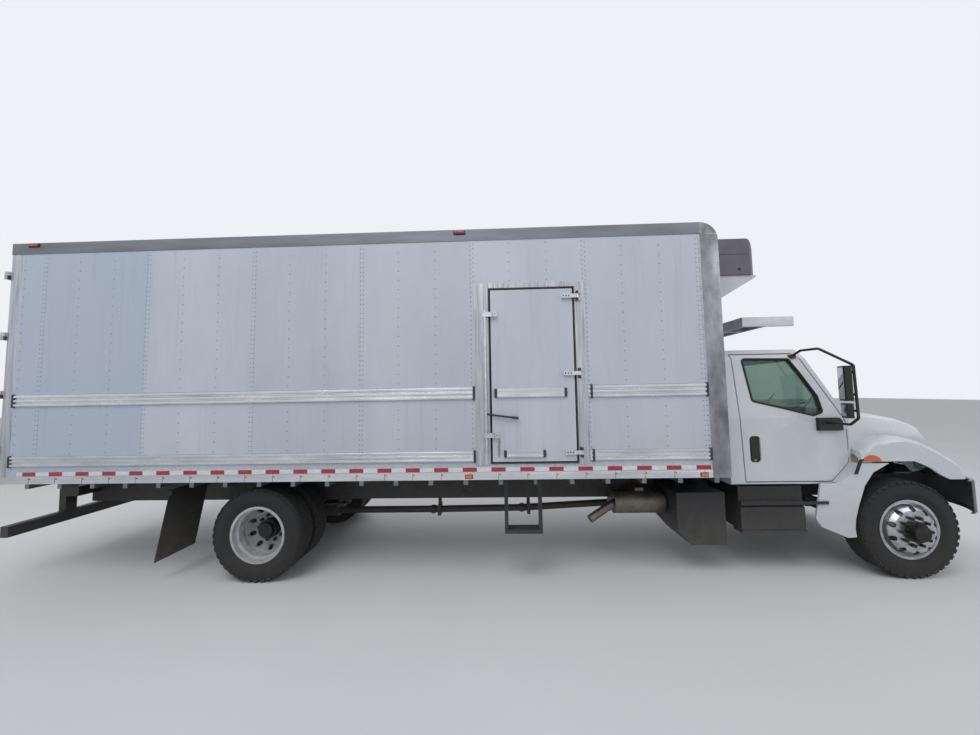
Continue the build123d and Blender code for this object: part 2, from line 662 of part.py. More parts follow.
# Cab: one closed volume, hollowed, then split into shell and doors along the real seams
def windscreen_round(inset):
    """A wide round bar along the pillars whose front is the bowed windscreen's face."""
    slope = (1 + PILLAR_LEAN ** 2) ** 0.5
    centre_x = FRONT_AXLE_X + PILLAR_FOOT + WINDSCREEN_BOW - WINDSCREEN_RADIUS * slope
    lean = Plane(origin=(centre_x, 0, CAB_BELT), z_dir=(-PILLAR_LEAN, 0, 1))
    return extrude(lean * Circle(WINDSCREEN_RADIUS - inset), 2 * CAB_ROOF, both=True)


def cab_bar(inset):
    """The cab's cross-section, drawn in by inset and made solid from its back to the axle."""
    half = CAB_HALF - inset
    top_half = CAB_ROOF_HALF - inset
    low = CAB_SILL + inset
    roof = CAB_ROOF - inset
    section = make_face(FilletPolyline(
        (-half, low), (half, low), (half, CAB_BELT), (top_half, CAB_ROOF - 110), (top_half - 90, roof),
        (0, CAB_CROWN - inset), (-top_half + 90, roof), (-top_half, CAB_ROOF - 110), (-half, CAB_BELT),
        radius=12, close=True))
    return thick_x(section, CAB_BACK_X, FRONT_AXLE_X)


def cab_volume(inset):
    """The cab's outer form, drawn in by inset all round."""
    firewall = FRONT_AXLE_X + PILLAR_FOOT - inset
    back = CAB_BACK_X + inset
    low = CAB_SILL
    body = cab_bar(inset)
    lower = block(back, firewall, -CAB_HALF - 50, CAB_HALF + 50, low, COWL_Z + inset)
    upper = windscreen_round(inset) & block(back, FRONT_AXLE_X, -CAB_HALF - 50, CAB_HALF + 50,
                                            COWL_Z + inset, CAB_CROWN + 50)
    return body & (lower + upper)


DOOR_OUTLINE = ((-1575, 985), (-662, 985), (-485, 1165), (-465, 1205), (-465, 1612), (-496, 1674),
                (-868, 2330), (-925, 2395), (-1620, 2395), (-1590, 1500))
WINDOW_OUTLINE = ((-1446, 1868), (-1069, 1772), (-803, 1700), (-700, 1733), (-735, 1912), (-895, 2184),
                  (-996, 2335), (-1512, 2345))


def from_axle(points):
    return [(FRONT_AXLE_X + x, z) for x, z in points]


def cab_skin():
    return cab_volume(0) - cab_volume(CAB_WALL)


def door_prism(grow):
    face = outline(*from_axle(DOOR_OUTLINE))
    if grow:
        face = offset(face, grow)
    return thick_y(face, CAB_HALF - 280, CAB_HALF + 60)


def floor_slab(inset):
    """The part of the cab's floor that stays with the shell beside a door."""
    edge = CAB_HALF - CAB_WALL - inset
    return block(CAB_BACK_X, FRONT_AXLE_X, 0, edge, CAB_SILL - 10, CAB_SILL + CAB_WALL)


def window_prism(grow):
    face = soft_outline(30, *from_axle(WINDOW_OUTLINE))
    if grow:
        face = offset(face, grow)
    return thick_y(face, CAB_HALF - 280, CAB_HALF + 60)


def windscreen_prism(grow):
    face = soft_outline(60, (-930 - grow, 1745 - grow), (930 + grow, 1745 - grow), (850 + grow, 2345 + grow),
                        (-850 - grow, 2345 + grow))
    return thick_x(face, FRONT_AXLE_X - 1000, FRONT_AXLE_X + 100)


def rear_window_prism(grow):
    face = soft_outline(50, (-450 - grow, 1850 - grow), (450 + grow, 1850 - grow), (450 + grow, 2230 + grow),
                        (-450 - grow, 2230 + grow))
    return thick_x(face, CAB_BACK_X - 50, CAB_BACK_X + CAB_WALL + 50)


CAB_HINGE_X = FRONT_AXLE_X - 459
CAB_HINGE_Y = CAB_HALF - 2
CAB_HINGE_Z = (1240, 1540)
CAB_HINGE_TALL = 40
CAB_HINGE_RADIUS = 5


def cab_hinge(low, end):
    """A hinge knuckle in the gap ahead of the door, webbed to the door (end -1) or the pillar (end 1)."""
    barrel = bar_z(CAB_HINGE_RADIUS, low, low + CAB_HINGE_TALL, CAB_HINGE_X, CAB_HINGE_Y)
    reach = CAB_HINGE_X + end * (CAB_DOOR_GAP / 2 + 3)
    web = block(min(CAB_HINGE_X, reach), max(CAB_HINGE_X, reach), CAB_HINGE_Y - CAB_HINGE_RADIUS, CAB_HINGE_Y,
                low, low + CAB_HINGE_TALL)
    return barrel + web


SPLASH_OUTLINE = ((-655, 968), (-560, 1040), (-478, 1100), (-450, 1145), (-446, 1186), (-128, 1186),
                  (-302, 1088), (-400, 946), (-472, 745), (-514, 601), (-526, 500), (-518, 415), (-600, 405),
                  (-834, 505), (-890, 590), (-817, 968))
SPLASH_PLAN = ((-900, 1040), (-690, 1048), (-545, 1085), (-430, 1090), (-100, 1092))
SPLASH_SKIN = 22


def splash_panel():
    """Moulded panel behind the front wheel: bulged in plan, cut round the door and the wheel's sweep."""
    side = thick_y(outline(*from_axle(SPLASH_OUTLINE)), CAB_HALF, FENDER_HALF)
    inner = [(FRONT_AXLE_X + x, y) for x, y in SPLASH_PLAN]
    outer = [(x, y + SPLASH_SKIN) for x, y in reversed(inner)]
    band = thick_z(outline(*(inner + outer)), 400, 1200)
    flange = outline(*from_axle(((-640, 968), (-478, 1102), (-450, 1147), (-446, 1186), (-441, 1186), (-441, 968))))
    return (side & band) + thick_y(flange, CAB_HALF - 30, 1092)


def cab_shell():
    doorway = door_prism(CAB_DOOR_GAP) - floor_slab(CAB_DOOR_GAP) - cab_bar(CAB_WALL + CAB_DOOR_GAP)
    shell = cab_skin() - doorway - other_side(doorway)
    shell = shell - windscreen_prism(0) - rear_window_prism(0)
    hinges = []
    for z in CAB_HINGE_Z:
        hinges.append(cab_hinge(z + CAB_HINGE_TALL + SEAT_GAP, 1))
    return Part() + [shell, both_sides(Part() + [splash_panel()] + hinges)]


def cab_glass():
    """Windscreen and rear window, bedded in the shell's openings."""
    pane = cab_volume(22) - cab_volume(28)
    front = pane & windscreen_prism(-SEAT_GAP)
    back = pane & rear_window_prism(-SEAT_GAP)
    return Part() + [front, back]


HANDLE_RECESS = ((-1515, 1190), (-1397, 1190), (-1397, 1480), (-1515, 1480))
HANDLE_DEPTH = 24


def cab_door():
    side = (cab_bar(0) - cab_bar(CAB_WALL)) & cab_volume(0)
    door = (side & door_prism(0)) - floor_slab(0) - window_prism(0)
    door -= thick_y(soft_outline(40, *from_axle(HANDLE_RECESS)), CAB_HALF - HANDLE_DEPTH, CAB_HALF + 10)
    for z in CAB_HINGE_Z:
        door += cab_hinge(z, -1)
    return door


def door_glass():
    return (cab_volume(22) - cab_volume(28)) & window_prism(-SEAT_GAP)


# Mirror: tube joints and the two heads are (ahead of the front axle, beyond the cab's side, height)
MIRROR_TUBE = ((-945, -80, 2362), (-925, 40, 2420), (-890, 230, 2420), (-680, 380, 2230), (-670, 380, 1690),
               (-680, 300, 1622), (-690, 36, 1622))
MIRROR_TUBE_RADIUS = 13
MIRROR_BEND = 35
MIRROR_HEAD = (-700, 300)
MIRROR_YAW = 25
MAIN_GLASS = {"z": 2045, "width": 190, "depth": 70, "half_height": 180}
LOWER_GLASS = {"z": 1765, "width": 170, "depth": 60, "half_height": 75}
CLAMP_Z = (1765, 1930, 2160)
MIRROR_BASE = ((-783, 1532), (-523, 1532), (-523, 1640), (-560, 1673), (-783, 1673))
MIRROR_BASE_PROUD = 38
TUBE_FOOT = ((-975, -915), (-120, -40), (2340, 2384))


def mirror_head(z, width, depth, half_height):
    ahead, out = MIRROR_HEAD
    section = RectangleRounded(depth, width, depth * 0.36)
    return (Pos(FRONT_AXLE_X + ahead, CAB_HALF + out, z) * Rot(0, 0, MIRROR_YAW)
            * extrude(section, half_height, both=True))


def mirror_set():
    """Left door mirror: base on the door, tube arm, tall head and a small convex head under it."""
    x = FRONT_AXLE_X
    y = CAB_HALF
    base = thick_y(outline(*from_axle(MIRROR_BASE)), y + SEAT_GAP, y + MIRROR_BASE_PROUD)
    path = FilletPolyline(*[(x + ahead, y + out, z) for ahead, out, z in MIRROR_TUBE], radius=MIRROR_BEND)
    tube = sweep((path ^ 0) * Circle(MIRROR_TUBE_RADIUS), path=path) - cab_volume(-SEAT_GAP)
    clamps = []
    for z in CLAMP_Z:
        clamps.append(rod((x - 700, y + 330, z), (x - 675, y + 380, z), MIRROR_TUBE_RADIUS - 1))
    (x0, x1), (y0, y1), (z0, z1) = TUBE_FOOT
    foot = block(x + x0, x + x1, y + y0, y + y1, z0, z1) - cab_volume(-SEAT_GAP)
    return Part() + [base, mirror_head(**MAIN_GLASS), mirror_head(**LOWER_GLASS), tube, foot] + clamps


# Seats: middle of each across the cab, and its width
SEATS = ((480, 480), (-430, 700))
SEAT_BEHIND_AXLE = 1510
CUSHION_Z = (1330, 1450)
CUSHION_X = (60, 560)
BACKREST = ((-100, 2060), (-10, 2060), (160, 1452), (20, 1400))
STAND_X = (100, 480)
STAND_INSET = 60


def seats():
    pieces = []
    x = FRONT_AXLE_X - SEAT_BEHIND_AXLE
    for middle, width in SEATS:
        y0 = middle - width / 2
        y1 = middle + width / 2
        cushion = block(x + CUSHION_X[0], x + CUSHION_X[1], y0, y1, *CUSHION_Z)
        back = thick_y(outline(*[(x + ahead, z) for ahead, z in BACKREST]), y0, y1)
        stand = block(x + STAND_X[0], x + STAND_X[1], y0 + STAND_INSET, y1 - STAND_INSET,
                      CAB_SILL + CAB_WALL + SEAT_GAP, CUSHION_Z[0])
        pieces.append(cushion + back + stand)
    return Part() + pieces


DASH_SIDE = ((-360, 1668), (-640, 1652), (-700, 1620), (-760, 1560), (-720, 1330), (-360, 1290))
DASH_HALF = 900
WHEEL_PLACE = (-940, 480, 1640)
COLUMN_START = (-700, 480, 1400)
COLUMN_RADIUS = 35
WHEEL_RADIUS = 215
WHEEL_RIM = 16


def dashboard():
    """Moulded desk across the cab with the steering column and its two-spoke wheel."""
    desk = thick_y(outline(*from_axle(DASH_SIDE)), -DASH_HALF, DASH_HALF) & cab_volume(CAB_WALL + SEAT_GAP)
    ahead, y, z = WHEEL_PLACE
    at_wheel = Pos(FRONT_AXLE_X + ahead, y, z) * Rot(0, -45, 0)
    start, start_y, start_z = COLUMN_START
    column = rod((FRONT_AXLE_X + start, start_y, start_z), (FRONT_AXLE_X + ahead, y, z), COLUMN_RADIUS)
    ring = at_wheel * Torus(WHEEL_RADIUS, WHEEL_RIM)
    spoke = at_wheel * Box(40, 2 * WHEEL_RADIUS, 18)
    return Part() + [desk, column, ring, spoke]


# Hood: centre form lofted over sections (behind the axle or ahead, half width, top, corner radius)
HOOD_SECTIONS = ((-421, 1000, 1752, 120), (40, 900, 1690, 120), (440, 760, 1622, 110), (730, 635, 1540, 90),
                 (890, 560, 1400, 70))
FENDER_CREST = ((-414, 1320), (-290, 1400), (-110, 1446), (40, 1458), (226, 1411), (386, 1322), (547, 1218),
                (637, 1131), (682, 1012))
FENDER_ROOT = ((-410, 1340), (-290, 1440), (-110, 1484), (40, 1490), (240, 1486), (480, 1440), (690, 1330),
               (820, 1180), (860, 1012))
FENDER_EDGE = ((474, 1012), (390, 1060), (290, 1135), (132, 1205), (-421, 1205))
FENDER_CENTRE = (60, 1012)
FENDER_ROOT_Y = 500
FENDER_CREST_Y = 1050
FENDER_SHOULDER_Y = 1100
SHOULDER_SHRINK = 0.965
LIP_SHRINK = 0.9
HOOD_LIGHT_Y = (720, 1080)
HOOD_LIGHT_Z = (1040, 1200)
LENS_BACK = 530
SIDE_LAMP_X = (-408, -217)
SIDE_LAMP_Z = (1212, 1275)
SIDE_LAMP_PROUD = 16
GRILLE_HALF = 430
GRILLE_LOW = 1060
GRILLE_TOP = 1345


def hood_section(station, half, top, radius, low):
    """Cross-section of the centre form: upright sides, two bevels at each shoulder, a level crown."""
    right = [(half, low), (half, top - radius * 1.3), (half - radius * 0.45, top - radius * 0.4),
             (half - radius * 1.4, top)]
    left = [(-y, z) for y, z in reversed(right)]
    return Plane.YZ.offset(FRONT_AXLE_X + station) * outline(*(right + left))


def hood_centre(inset, rear_reach, low):
    faces = []
    for station, half, top, radius in HOOD_SECTIONS:
        shift = -rear_reach if station < 0 else (-inset if station > 800 else 0)
        faces.append(hood_section(station + shift, half - inset, top - inset, radius, low))
    return loft(faces, ruled=True)


def fender_section(y, crest, spread, lower):
    """Side outline of a fender at distance y: its crest, drawn in about the wheel, over a lower edge."""
    centre_x, centre_z = FENDER_CENTRE
    top = [(centre_x + (x - centre_x) * spread, centre_z + (z - centre_z) * spread) for x, z in crest]
    return Plane.XZ.offset(-y) * outline(*from_axle(top + list(lower)))


def fender():
    """Left fender: skin from the hood's root over the crest to the rounded lip of the arch."""
    faces = [fender_section(FENDER_ROOT_Y, FENDER_ROOT, 1, FENDER_EDGE),
             fender_section(FENDER_CREST_Y, FENDER_CREST, 1, FENDER_EDGE),
             fender_section(FENDER_SHOULDER_Y, FENDER_CREST, SHOULDER_SHRINK, FENDER_EDGE),
             fender_section(FENDER_HALF, FENDER_CREST, LIP_SHRINK, FENDER_EDGE)]
    return loft(faces, ruled=True)


def fender_hollow():
    """The space under the fender's skin, open below."""
    inset = 1 - HOOD_SKIN / (FENDER_CREST[3][1] - FENDER_CENTRE[1])
    open_edge = ((860, HOOD_LOW - 60), (-700, HOOD_LOW - 60))
    faces = [fender_section(FENDER_ROOT_Y - 20, FENDER_ROOT, inset, open_edge),
             fender_section(FENDER_CREST_Y - 10, FENDER_CREST, inset, open_edge),
             fender_section(FENDER_SHOULDER_Y - HOOD_SKIN, FENDER_CREST, inset * SHOULDER_SHRINK, open_edge),
             fender_section(FENDER_HALF - HOOD_SKIN, FENDER_CREST, inset * LIP_SHRINK, open_edge)]
    return loft(faces, ruled=True)


def lamp_box():
    """The headlamp's place in the left fender."""
    return block(FRONT_AXLE_X + LENS_BACK - 50, FRONT_AXLE_X + 900, *HOOD_LIGHT_Y, *HOOD_LIGHT_Z)


def hood():
    side = fender()
    centre = hood_centre(0, 0, HOOD_LOW)
    body = Part() + [centre, side, other_side(side)]
    below = HOOD_LOW - 60
    inside = hood_centre(HOOD_SKIN, 80, below)
    well = bar_y(640, 480, FENDER_HALF - HOOD_SKIN, FRONT_AXLE_X + 60, AXLE_HEIGHT + 50)
    hollow = fender_hollow() - hood_centre(0, 80, below - 10)
    body = body - inside - well - other_side(well) - hollow - other_side(hollow)
    lamps = lamp_box()
    body = body - lamps - other_side(lamps)
    opening = block(FRONT_AXLE_X + 600, FRONT_AXLE_X + 1000, -GRILLE_HALF, GRILLE_HALF, GRILLE_LOW, GRILLE_TOP)
    body = body - opening - cab_volume(-10)
    eyes = []
    hinge_x = FRONT_AXLE_X + HOOD_HINGE_AHEAD
    for side in (-1, 1):
        low, high = sorted((side * (EAR_IN - 37), side * (EAR_IN - 3)))
        arm = block(FRONT_AXLE_X + 866, hinge_x, low, high, HOOD_HINGE_Z, HOOD_LOW + 30)
        arm = arm + bar_y(HINGE_EYE, low, high, hinge_x, HOOD_HINGE_Z)
        eyes.append(arm - bar_y(HINGE_PIN + SEAT_GAP, low - 5, high + 5, hinge_x, HOOD_HINGE_Z))
    return Part() + [body] + eyes


def side_lamp():
    """Half-round marker on the left fender's outer face."""
    x0, x1 = (FRONT_AXLE_X + ahead for ahead in SIDE_LAMP_X)
    low, high = SIDE_LAMP_Z
    edge = Line((x0, low), (x1, low)) + ThreePointArc((x1, low), ((x0 + x1) / 2, high), (x0, low))
    return thick_y(make_face(edge), FENDER_HALF + SEAT_GAP, FENDER_HALF + SIDE_LAMP_PROUD)


def headlamps():
    gap = SEAT_GAP
    inner = block(FRONT_AXLE_X + LENS_BACK, FRONT_AXLE_X + 900, HOOD_LIGHT_Y[0] + gap, HOOD_LIGHT_Y[1] - gap,
                  HOOD_LIGHT_Z[0] + gap, HOOD_LIGHT_Z[1] - gap)
    return both_sides(fender() & inner) + both_sides(side_lamp())


GRILLE_X = FRONT_AXLE_X + 864
GRILLE_DEPTH = 24
GRILLE_RIM = 30
GRILLE_BAR = 18
GRILLE_PITCH = 48


def grille():
    """Surround with level bars, set in the hood's front opening."""
    y = GRILLE_HALF - SEAT_GAP
    front = GRILLE_X + GRILLE_DEPTH
    rim = GRILLE_RIM
    frame = block(GRILLE_X, front, -y, y, GRILLE_LOW + SEAT_GAP, GRILLE_TOP - SEAT_GAP)
    frame -= block(GRILLE_X - 5, front + 5, -y + rim, y - rim, GRILLE_LOW + rim, GRILLE_TOP - rim)
    bars = []
    for z in range(GRILLE_LOW + 2 * rim, GRILLE_TOP - rim - 10, GRILLE_PITCH):
        bars.append(block(GRILLE_X + 4, front - 4, -y + rim - 5, y - rim + 5, z, z + GRILLE_BAR))
    return Part() + [frame] + bars


BUMPER_STRAIGHT = 560
BUMPER_CORNER = (-186, 1050)
BUMPER_END = (-270, 1100)


def bumper_band(back, depth, low, high, spare):
    """A level band behind the bumper's bent face, its ends run out by spare."""
    x = BUMPER_FACE_X - back
    corner_x, corner_y = BUMPER_CORNER
    end_x, end_y = BUMPER_END
    run = (end_y - corner_y + spare) / (end_y - corner_y)
    tip = (corner_x + (end_x - corner_x) * run, corner_y + (end_y - corner_y) * run)
    half = []
    for shift in (0, -depth):
        front = Line((x + shift, 0), (x + shift, BUMPER_STRAIGHT))
        front += TangentArc((x + shift, BUMPER_STRAIGHT), (x + shift + corner_x, corner_y), tangent=(0, 1))
        front += Line((x + shift + corner_x, corner_y), (x + shift + tip[0], tip[1]))
        half.append(front)
    ends = Line((x + tip[0], tip[1]), (x - depth + tip[0], tip[1])) + Line((x, 0), (x - depth, 0))
    side = thick_z(make_face(half[0] + half[1] + ends), low, high)
    return side + other_side(side)


def bumper():
    """Channel bumper, straight in front and swept back at its ends, with its flanges turned rearwards."""
    t = BUMPER_THICKNESS
    whole = bumper_band(0, BUMPER_FLANGE, BUMPER_LOW, BUMPER_TOP, 0)
    return whole - bumper_band(t, BUMPER_FLANGE, BUMPER_LOW + t, BUMPER_TOP - t, 20)


# Box body panels
def wall_face(x_low):
    """Side outline of the box with its rounded top front corner."""
    r = NOSE_RADIUS
    edges = Polyline((BOX_FRONT_X, BOX_TOP - r), (BOX_FRONT_X, BOX_UNDERSIDE), (x_low, BOX_UNDERSIDE),
                     (x_low, BOX_TOP), (BOX_FRONT_X - r, BOX_TOP))
    edges += RadiusArc((BOX_FRONT_X - r, BOX_TOP), (BOX_FRONT_X, BOX_TOP - r), r)
    return make_face(edges)


def side_wall():
    return thick_y(wall_face(WALL_START_X), BOX_HALF - SIDE_WALL, BOX_HALF)


def right_wall():
    lining = DOOR_LINING
    hole = block(SIDE_DOOR_REAR_X - lining, SIDE_DOOR_FRONT_X + lining, -BOX_HALF - 10, -BOX_HALF + SIDE_WALL + 10,
                 FLOOR_TOP - lining, SIDE_DOOR_TOP + lining)
    return other_side(side_wall()) - hole


FLOOR_BEAMS = 21
BEAM_INSET = 100
FLOOR_BEAM_HALF = 25


def box_floor():
    y = BOX_HALF - SIDE_WALL
    slab = block(WALL_START_X, BOX_FRONT_X - FRONT_WALL, -y, y, BOX_UNDERSIDE, FLOOR_TOP)
    beams = []
    pitch = (BOX_FRONT_X - WALL_START_X - 2 * BEAM_INSET) / (FLOOR_BEAMS - 1)
    for index in range(FLOOR_BEAMS):
        x = WALL_START_X + BEAM_INSET + index * pitch
        beams.append(block(x - FLOOR_BEAM_HALF, x + FLOOR_BEAM_HALF, -y, y,
                           RAIL_TOP + LONG_SILL_HEIGHT + SEAT_GAP, BOX_UNDERSIDE - SEAT_GAP))
    return Part() + [slab] + beams


def front_wall():
    y = BOX_HALF - SIDE_WALL
    return block(BOX_FRONT_X - FRONT_WALL, BOX_FRONT_X, -y, y, BOX_UNDERSIDE, BOX_TOP - NOSE_RADIUS)


def box_roof():
    r = NOSE_RADIUS
    t = ROOF_THICKNESS
    x = BOX_FRONT_X
    edges = Polyline((x - r, BOX_TOP), (WALL_START_X, BOX_TOP), (WALL_START_X, BOX_TOP - t), (x - r, BOX_TOP - t))
    edges += RadiusArc((x - r, BOX_TOP - t), (x - t, BOX_TOP - r), r - t)
    edges += Polyline((x - t, BOX_TOP - r), (x, BOX_TOP - r))
    edges += RadiusArc((x, BOX_TOP - r), (x - r, BOX_TOP), -r)
    return thick_y(make_face(edges), -BOX_HALF + SIDE_WALL, BOX_HALF - SIDE_WALL)


REAR_HINGE_Z = (1420, 2040, 2700, 3400)
HINGE_BARREL = 14
HINGE_TALL = 44
HINGE_LEAF = 180
LEAF_THICK = 12


def rear_frame():
    portal = block(BOX_REAR_X, WALL_START_X, -BOX_HALF, BOX_HALF, BOX_UNDERSIDE, BOX_TOP)
    portal -= block(BOX_REAR_X - 10, WALL_START_X + 10, -BOX_HALF + REAR_POST_WIDTH, BOX_HALF - REAR_POST_WIDTH,
                    FLOOR_TOP, REAR_DOOR_TOP)
    pin_x = BOX_REAR_X - REAR_HINGE_BACK
    pin_y = BOX_HALF + REAR_HINGE_OUT
    knuckles = []
    for z in REAR_HINGE_Z:
        low = z + HINGE_TALL + SEAT_GAP
        high = low + HINGE_TALL
        knuckles.append(bar_z(HINGE_BARREL, low, high, pin_x, pin_y))
        knuckles.append(block(pin_x - 4, BOX_REAR_X, BOX_HALF - 40, pin_y, low, high))
    return Part() + [portal, both_sides(Part() + knuckles)]


LOCK_ROD_RADIUS = 17
LOCK_ROD_Y = (180, 820)
ROD_END_GAP = 20
KEEPER_HALF = 35
KEEPER_TALL = 50
KEEPER_Z = (FLOOR_TOP + 72, FLOOR_TOP + 930, FLOOR_TOP + 1630, REAR_DOOR_TOP - 112)
HANDLE_Z = FLOOR_TOP + 580
HANDLE_TALL = 35
HANDLE_REACH = 330


def rear_door():
    """Left rear door leaf with its lock rods, handles and hinge leaves."""
    y1 = BOX_HALF - REAR_POST_WIDTH - DOOR_GAP
    z0 = FLOOR_TOP + DOOR_GAP
    z1 = REAR_DOOR_TOP - DOOR_GAP
    pieces = [block(BOX_REAR_X, BOX_REAR_X + REAR_DOOR_THICKNESS, DOOR_GAP / 2, y1, z0, z1)]
    rod_x = BOX_REAR_X - LOCK_ROD_PROUD + LOCK_ROD_RADIUS
    for y in LOCK_ROD_Y:
        pieces.append(bar_z(LOCK_ROD_RADIUS, z0 + ROD_END_GAP, z1 - ROD_END_GAP, rod_x, y))
        for z in KEEPER_Z:
            pieces.append(block(rod_x - 5, BOX_REAR_X, y - KEEPER_HALF, y + KEEPER_HALF, z, z + KEEPER_TALL))
        pieces.append(block(rod_x - 8, rod_x + 12, y - 15, y + HANDLE_REACH, HANDLE_Z, HANDLE_Z + HANDLE_TALL))
    pin_x = BOX_REAR_X - REAR_HINGE_BACK
    pin_y = BOX_HALF + REAR_HINGE_OUT
    for z in REAR_HINGE_Z:
        pieces.append(bar_z(HINGE_BARREL, z, z + HINGE_TALL, pin_x, pin_y))
        pieces.append(block(pin_x - 4, pin_x - 4 + LEAF_THICK, y1 - HINGE_LEAF, pin_y, z, z + HINGE_TALL))
        pieces.append(block(pin_x - 4, BOX_REAR_X, y1 - HINGE_LEAF, y1 - 20, z, z + HINGE_TALL))
    return Part() + pieces


SIDE_HINGE_Z = (FLOOR_TOP + 105, FLOOR_TOP + 935, FLOOR_TOP + 1768)
SIDE_HINGE_OUT = 24
SIDE_HINGE_AHEAD = 40
SIDE_HINGE_BARREL = 13
STRAP_HALF = 21
STRAP_LENGTH = 120
FRAME_KNUCKLE = 55
SIDE_ROD_RADIUS = 12
SIDE_ROD_BEHIND = 50
SIDE_ROD_OUT = 26
SIDE_ROD_Z = (FLOOR_TOP + 95, FLOOR_TOP + 1630)
SIDE_KEEPER_Z = (FLOOR_TOP + 295, FLOOR_TOP + 1584)
LEVER_Z = (FLOOR_TOP + 515, FLOOR_TOP + 470)
LEVER_LENGTH = 330
LEVER_RADIUS = 10


def side_door_frame():
    y_wall = -BOX_HALF
    x0 = SIDE_DOOR_REAR_X
    x1 = SIDE_DOOR_FRONT_X
    face = block(x0 - FRAME_REAR_FACE, x1 + FRAME_FRONT_FACE, y_wall - FRAME_PROUD, y_wall,
                 FLOOR_TOP - DOOR_LINING, SIDE_DOOR_TOP + FRAME_HEAD_FACE)
    lining = block(x0 - DOOR_LINING, x1 + DOOR_LINING, y_wall, y_wall + SIDE_WALL,
                   FLOOR_TOP - DOOR_LINING, SIDE_DOOR_TOP + DOOR_LINING)
    hole = block(x0, x1, y_wall - 50, y_wall + SIDE_WALL + 50, FLOOR_TOP, SIDE_DOOR_TOP)
    pieces = [face + lining - hole]
    pin_x = x1 + SIDE_HINGE_AHEAD
    pin_y = y_wall - FRAME_PROUD - SIDE_HINGE_OUT
    near = STRAP_HALF + SEAT_GAP
    for z in SIDE_HINGE_Z:
        for low, high in ((z + near, z + FRAME_KNUCKLE), (z - FRAME_KNUCKLE, z - near)):
            pieces.append(bar_z(SIDE_HINGE_BARREL, low, high, pin_x, pin_y))
            pieces.append(block(pin_x, pin_x + 40, pin_y - 6, y_wall - FRAME_PROUD, low, high))
    return Part() + pieces


# Scuff pieces on the side door: lower edge above the floor, height, start and end from the door's rear edge
DOOR_SCUFFS = ((60, 70, 120, 560), (690, 90, 30, 800))
DOOR_SCUFF_PROUD = 18


def side_door():
    y_face = -BOX_HALF - FRAME_PROUD
    x0 = SIDE_DOOR_REAR_X + DOOR_GAP
    x1 = SIDE_DOOR_FRONT_X - DOOR_GAP
    pieces = [block(x0, x1, y_face, y_face + SIDE_DOOR_THICKNESS, FLOOR_TOP + DOOR_GAP, SIDE_DOOR_TOP - DOOR_GAP)]
    pin_x = SIDE_DOOR_FRONT_X + SIDE_HINGE_AHEAD
    pin_y = y_face - SIDE_HINGE_OUT
    for z in SIDE_HINGE_Z:
        low = z - STRAP_HALF
        high = z + STRAP_HALF
        pieces.append(bar_z(SIDE_HINGE_BARREL, low, high, pin_x, pin_y))
        pieces.append(block(x1 - STRAP_LENGTH, pin_x, pin_y - 6, pin_y + 6, low, high))
        pieces.append(block(x1 - STRAP_LENGTH, x1 - 10, pin_y, y_face, low, high))
    rod_x = SIDE_DOOR_REAR_X - SIDE_ROD_BEHIND
    rod_y = y_face - SIDE_ROD_OUT
    pieces.append(bar_z(SIDE_ROD_RADIUS, *SIDE_ROD_Z, rod_x, rod_y))
    for z in SIDE_KEEPER_Z:
        pieces.append(block(rod_x - 22, x0 + 70, rod_y - 16, rod_y + 16, z - 25, z + 25))
        pieces.append(block(x0 + 5, x0 + 70, rod_y + 6, y_face, z - 25, z + 25))
    pieces.append(rod((rod_x, rod_y, LEVER_Z[0]), (rod_x + LEVER_LENGTH, rod_y - 8, LEVER_Z[1]), LEVER_RADIUS))
    for above, height, start, end in DOOR_SCUFFS:
        pieces.append(block(x0 + start, x0 + end, y_face - DOOR_SCUFF_PROUD, y_face,
                            FLOOR_TOP + above, FLOOR_TOP + above + height))
    return Part() + pieces


def rail_face(low, height):
    y = BOX_HALF
    rib = height / 3
    points = [(y, low), (y, low + height)]
    for index in (2, 1, 0):
        z = low + index * rib
        points += [(y + RAIL_PROUD * 0.5, z + rib - 4), (y + RAIL_PROUD, z + rib * 0.72),
                   (y + RAIL_PROUD, z + rib * 0.28), (y + RAIL_PROUD * 0.5, z + 4)]
    return outline(*points)


def box_trim():
    x0 = WALL_START_X
    x1 = BOX_FRONT_X - CORNER_POST_WIDTH
    gap_rear = SIDE_DOOR_REAR_X - FRAME_REAR_FACE
    gap_front = SIDE_DOOR_FRONT_X + FRAME_FRONT_FACE
    pieces = []
    for low, height in RAIL_HEIGHTS:
        face = rail_face(low, height)
        pieces.append(thick_x(face, x0, x1))
        pieces.append(other_side(thick_x(face, x0, gap_rear)))
        pieces.append(other_side(thick_x(face, gap_front, x1)))
    top = block(BOX_REAR_X, x1, BOX_HALF, BOX_HALF + TRIM_PROUD, BOX_TOP - TOP_RAIL_HEIGHT, BOX_TOP)
    sill = block(BOX_REAR_X, BOX_FRONT_X, BOX_HALF, BOX_HALF + TRIM_PROUD, BOX_UNDERSIDE,
                 BOX_UNDERSIDE + SILL_RAIL_HEIGHT)
    pieces += [both_sides(top), both_sides(sill)]
    post_face = wall_face(x1)
    post = thick_y(post_face, BOX_HALF, BOX_HALF + TRIM_PROUD)
    post -= block(BOX_REAR_X, BOX_FRONT_X + 10, BOX_HALF - 5, BOX_HALF + 50, BOX_UNDERSIDE - 5,
                  BOX_UNDERSIDE + SILL_RAIL_HEIGHT)
    pieces.append(both_sides(post))
    return Part() + pieces


UNIT_CHAMFER = ((0, -110), (-25, -48), (-100, 0))
UNIT_CORNER = 70
GRILLE_BAND = (-330, -150)
VENT_HALF = 640
VENT_DEPTH = 30
SLAT_HEIGHT = 12
SLAT_PITCH = 30
SKIRT_TUCK = 20
SKIRT_REACH = 120
SKIRT_FOOT = 40


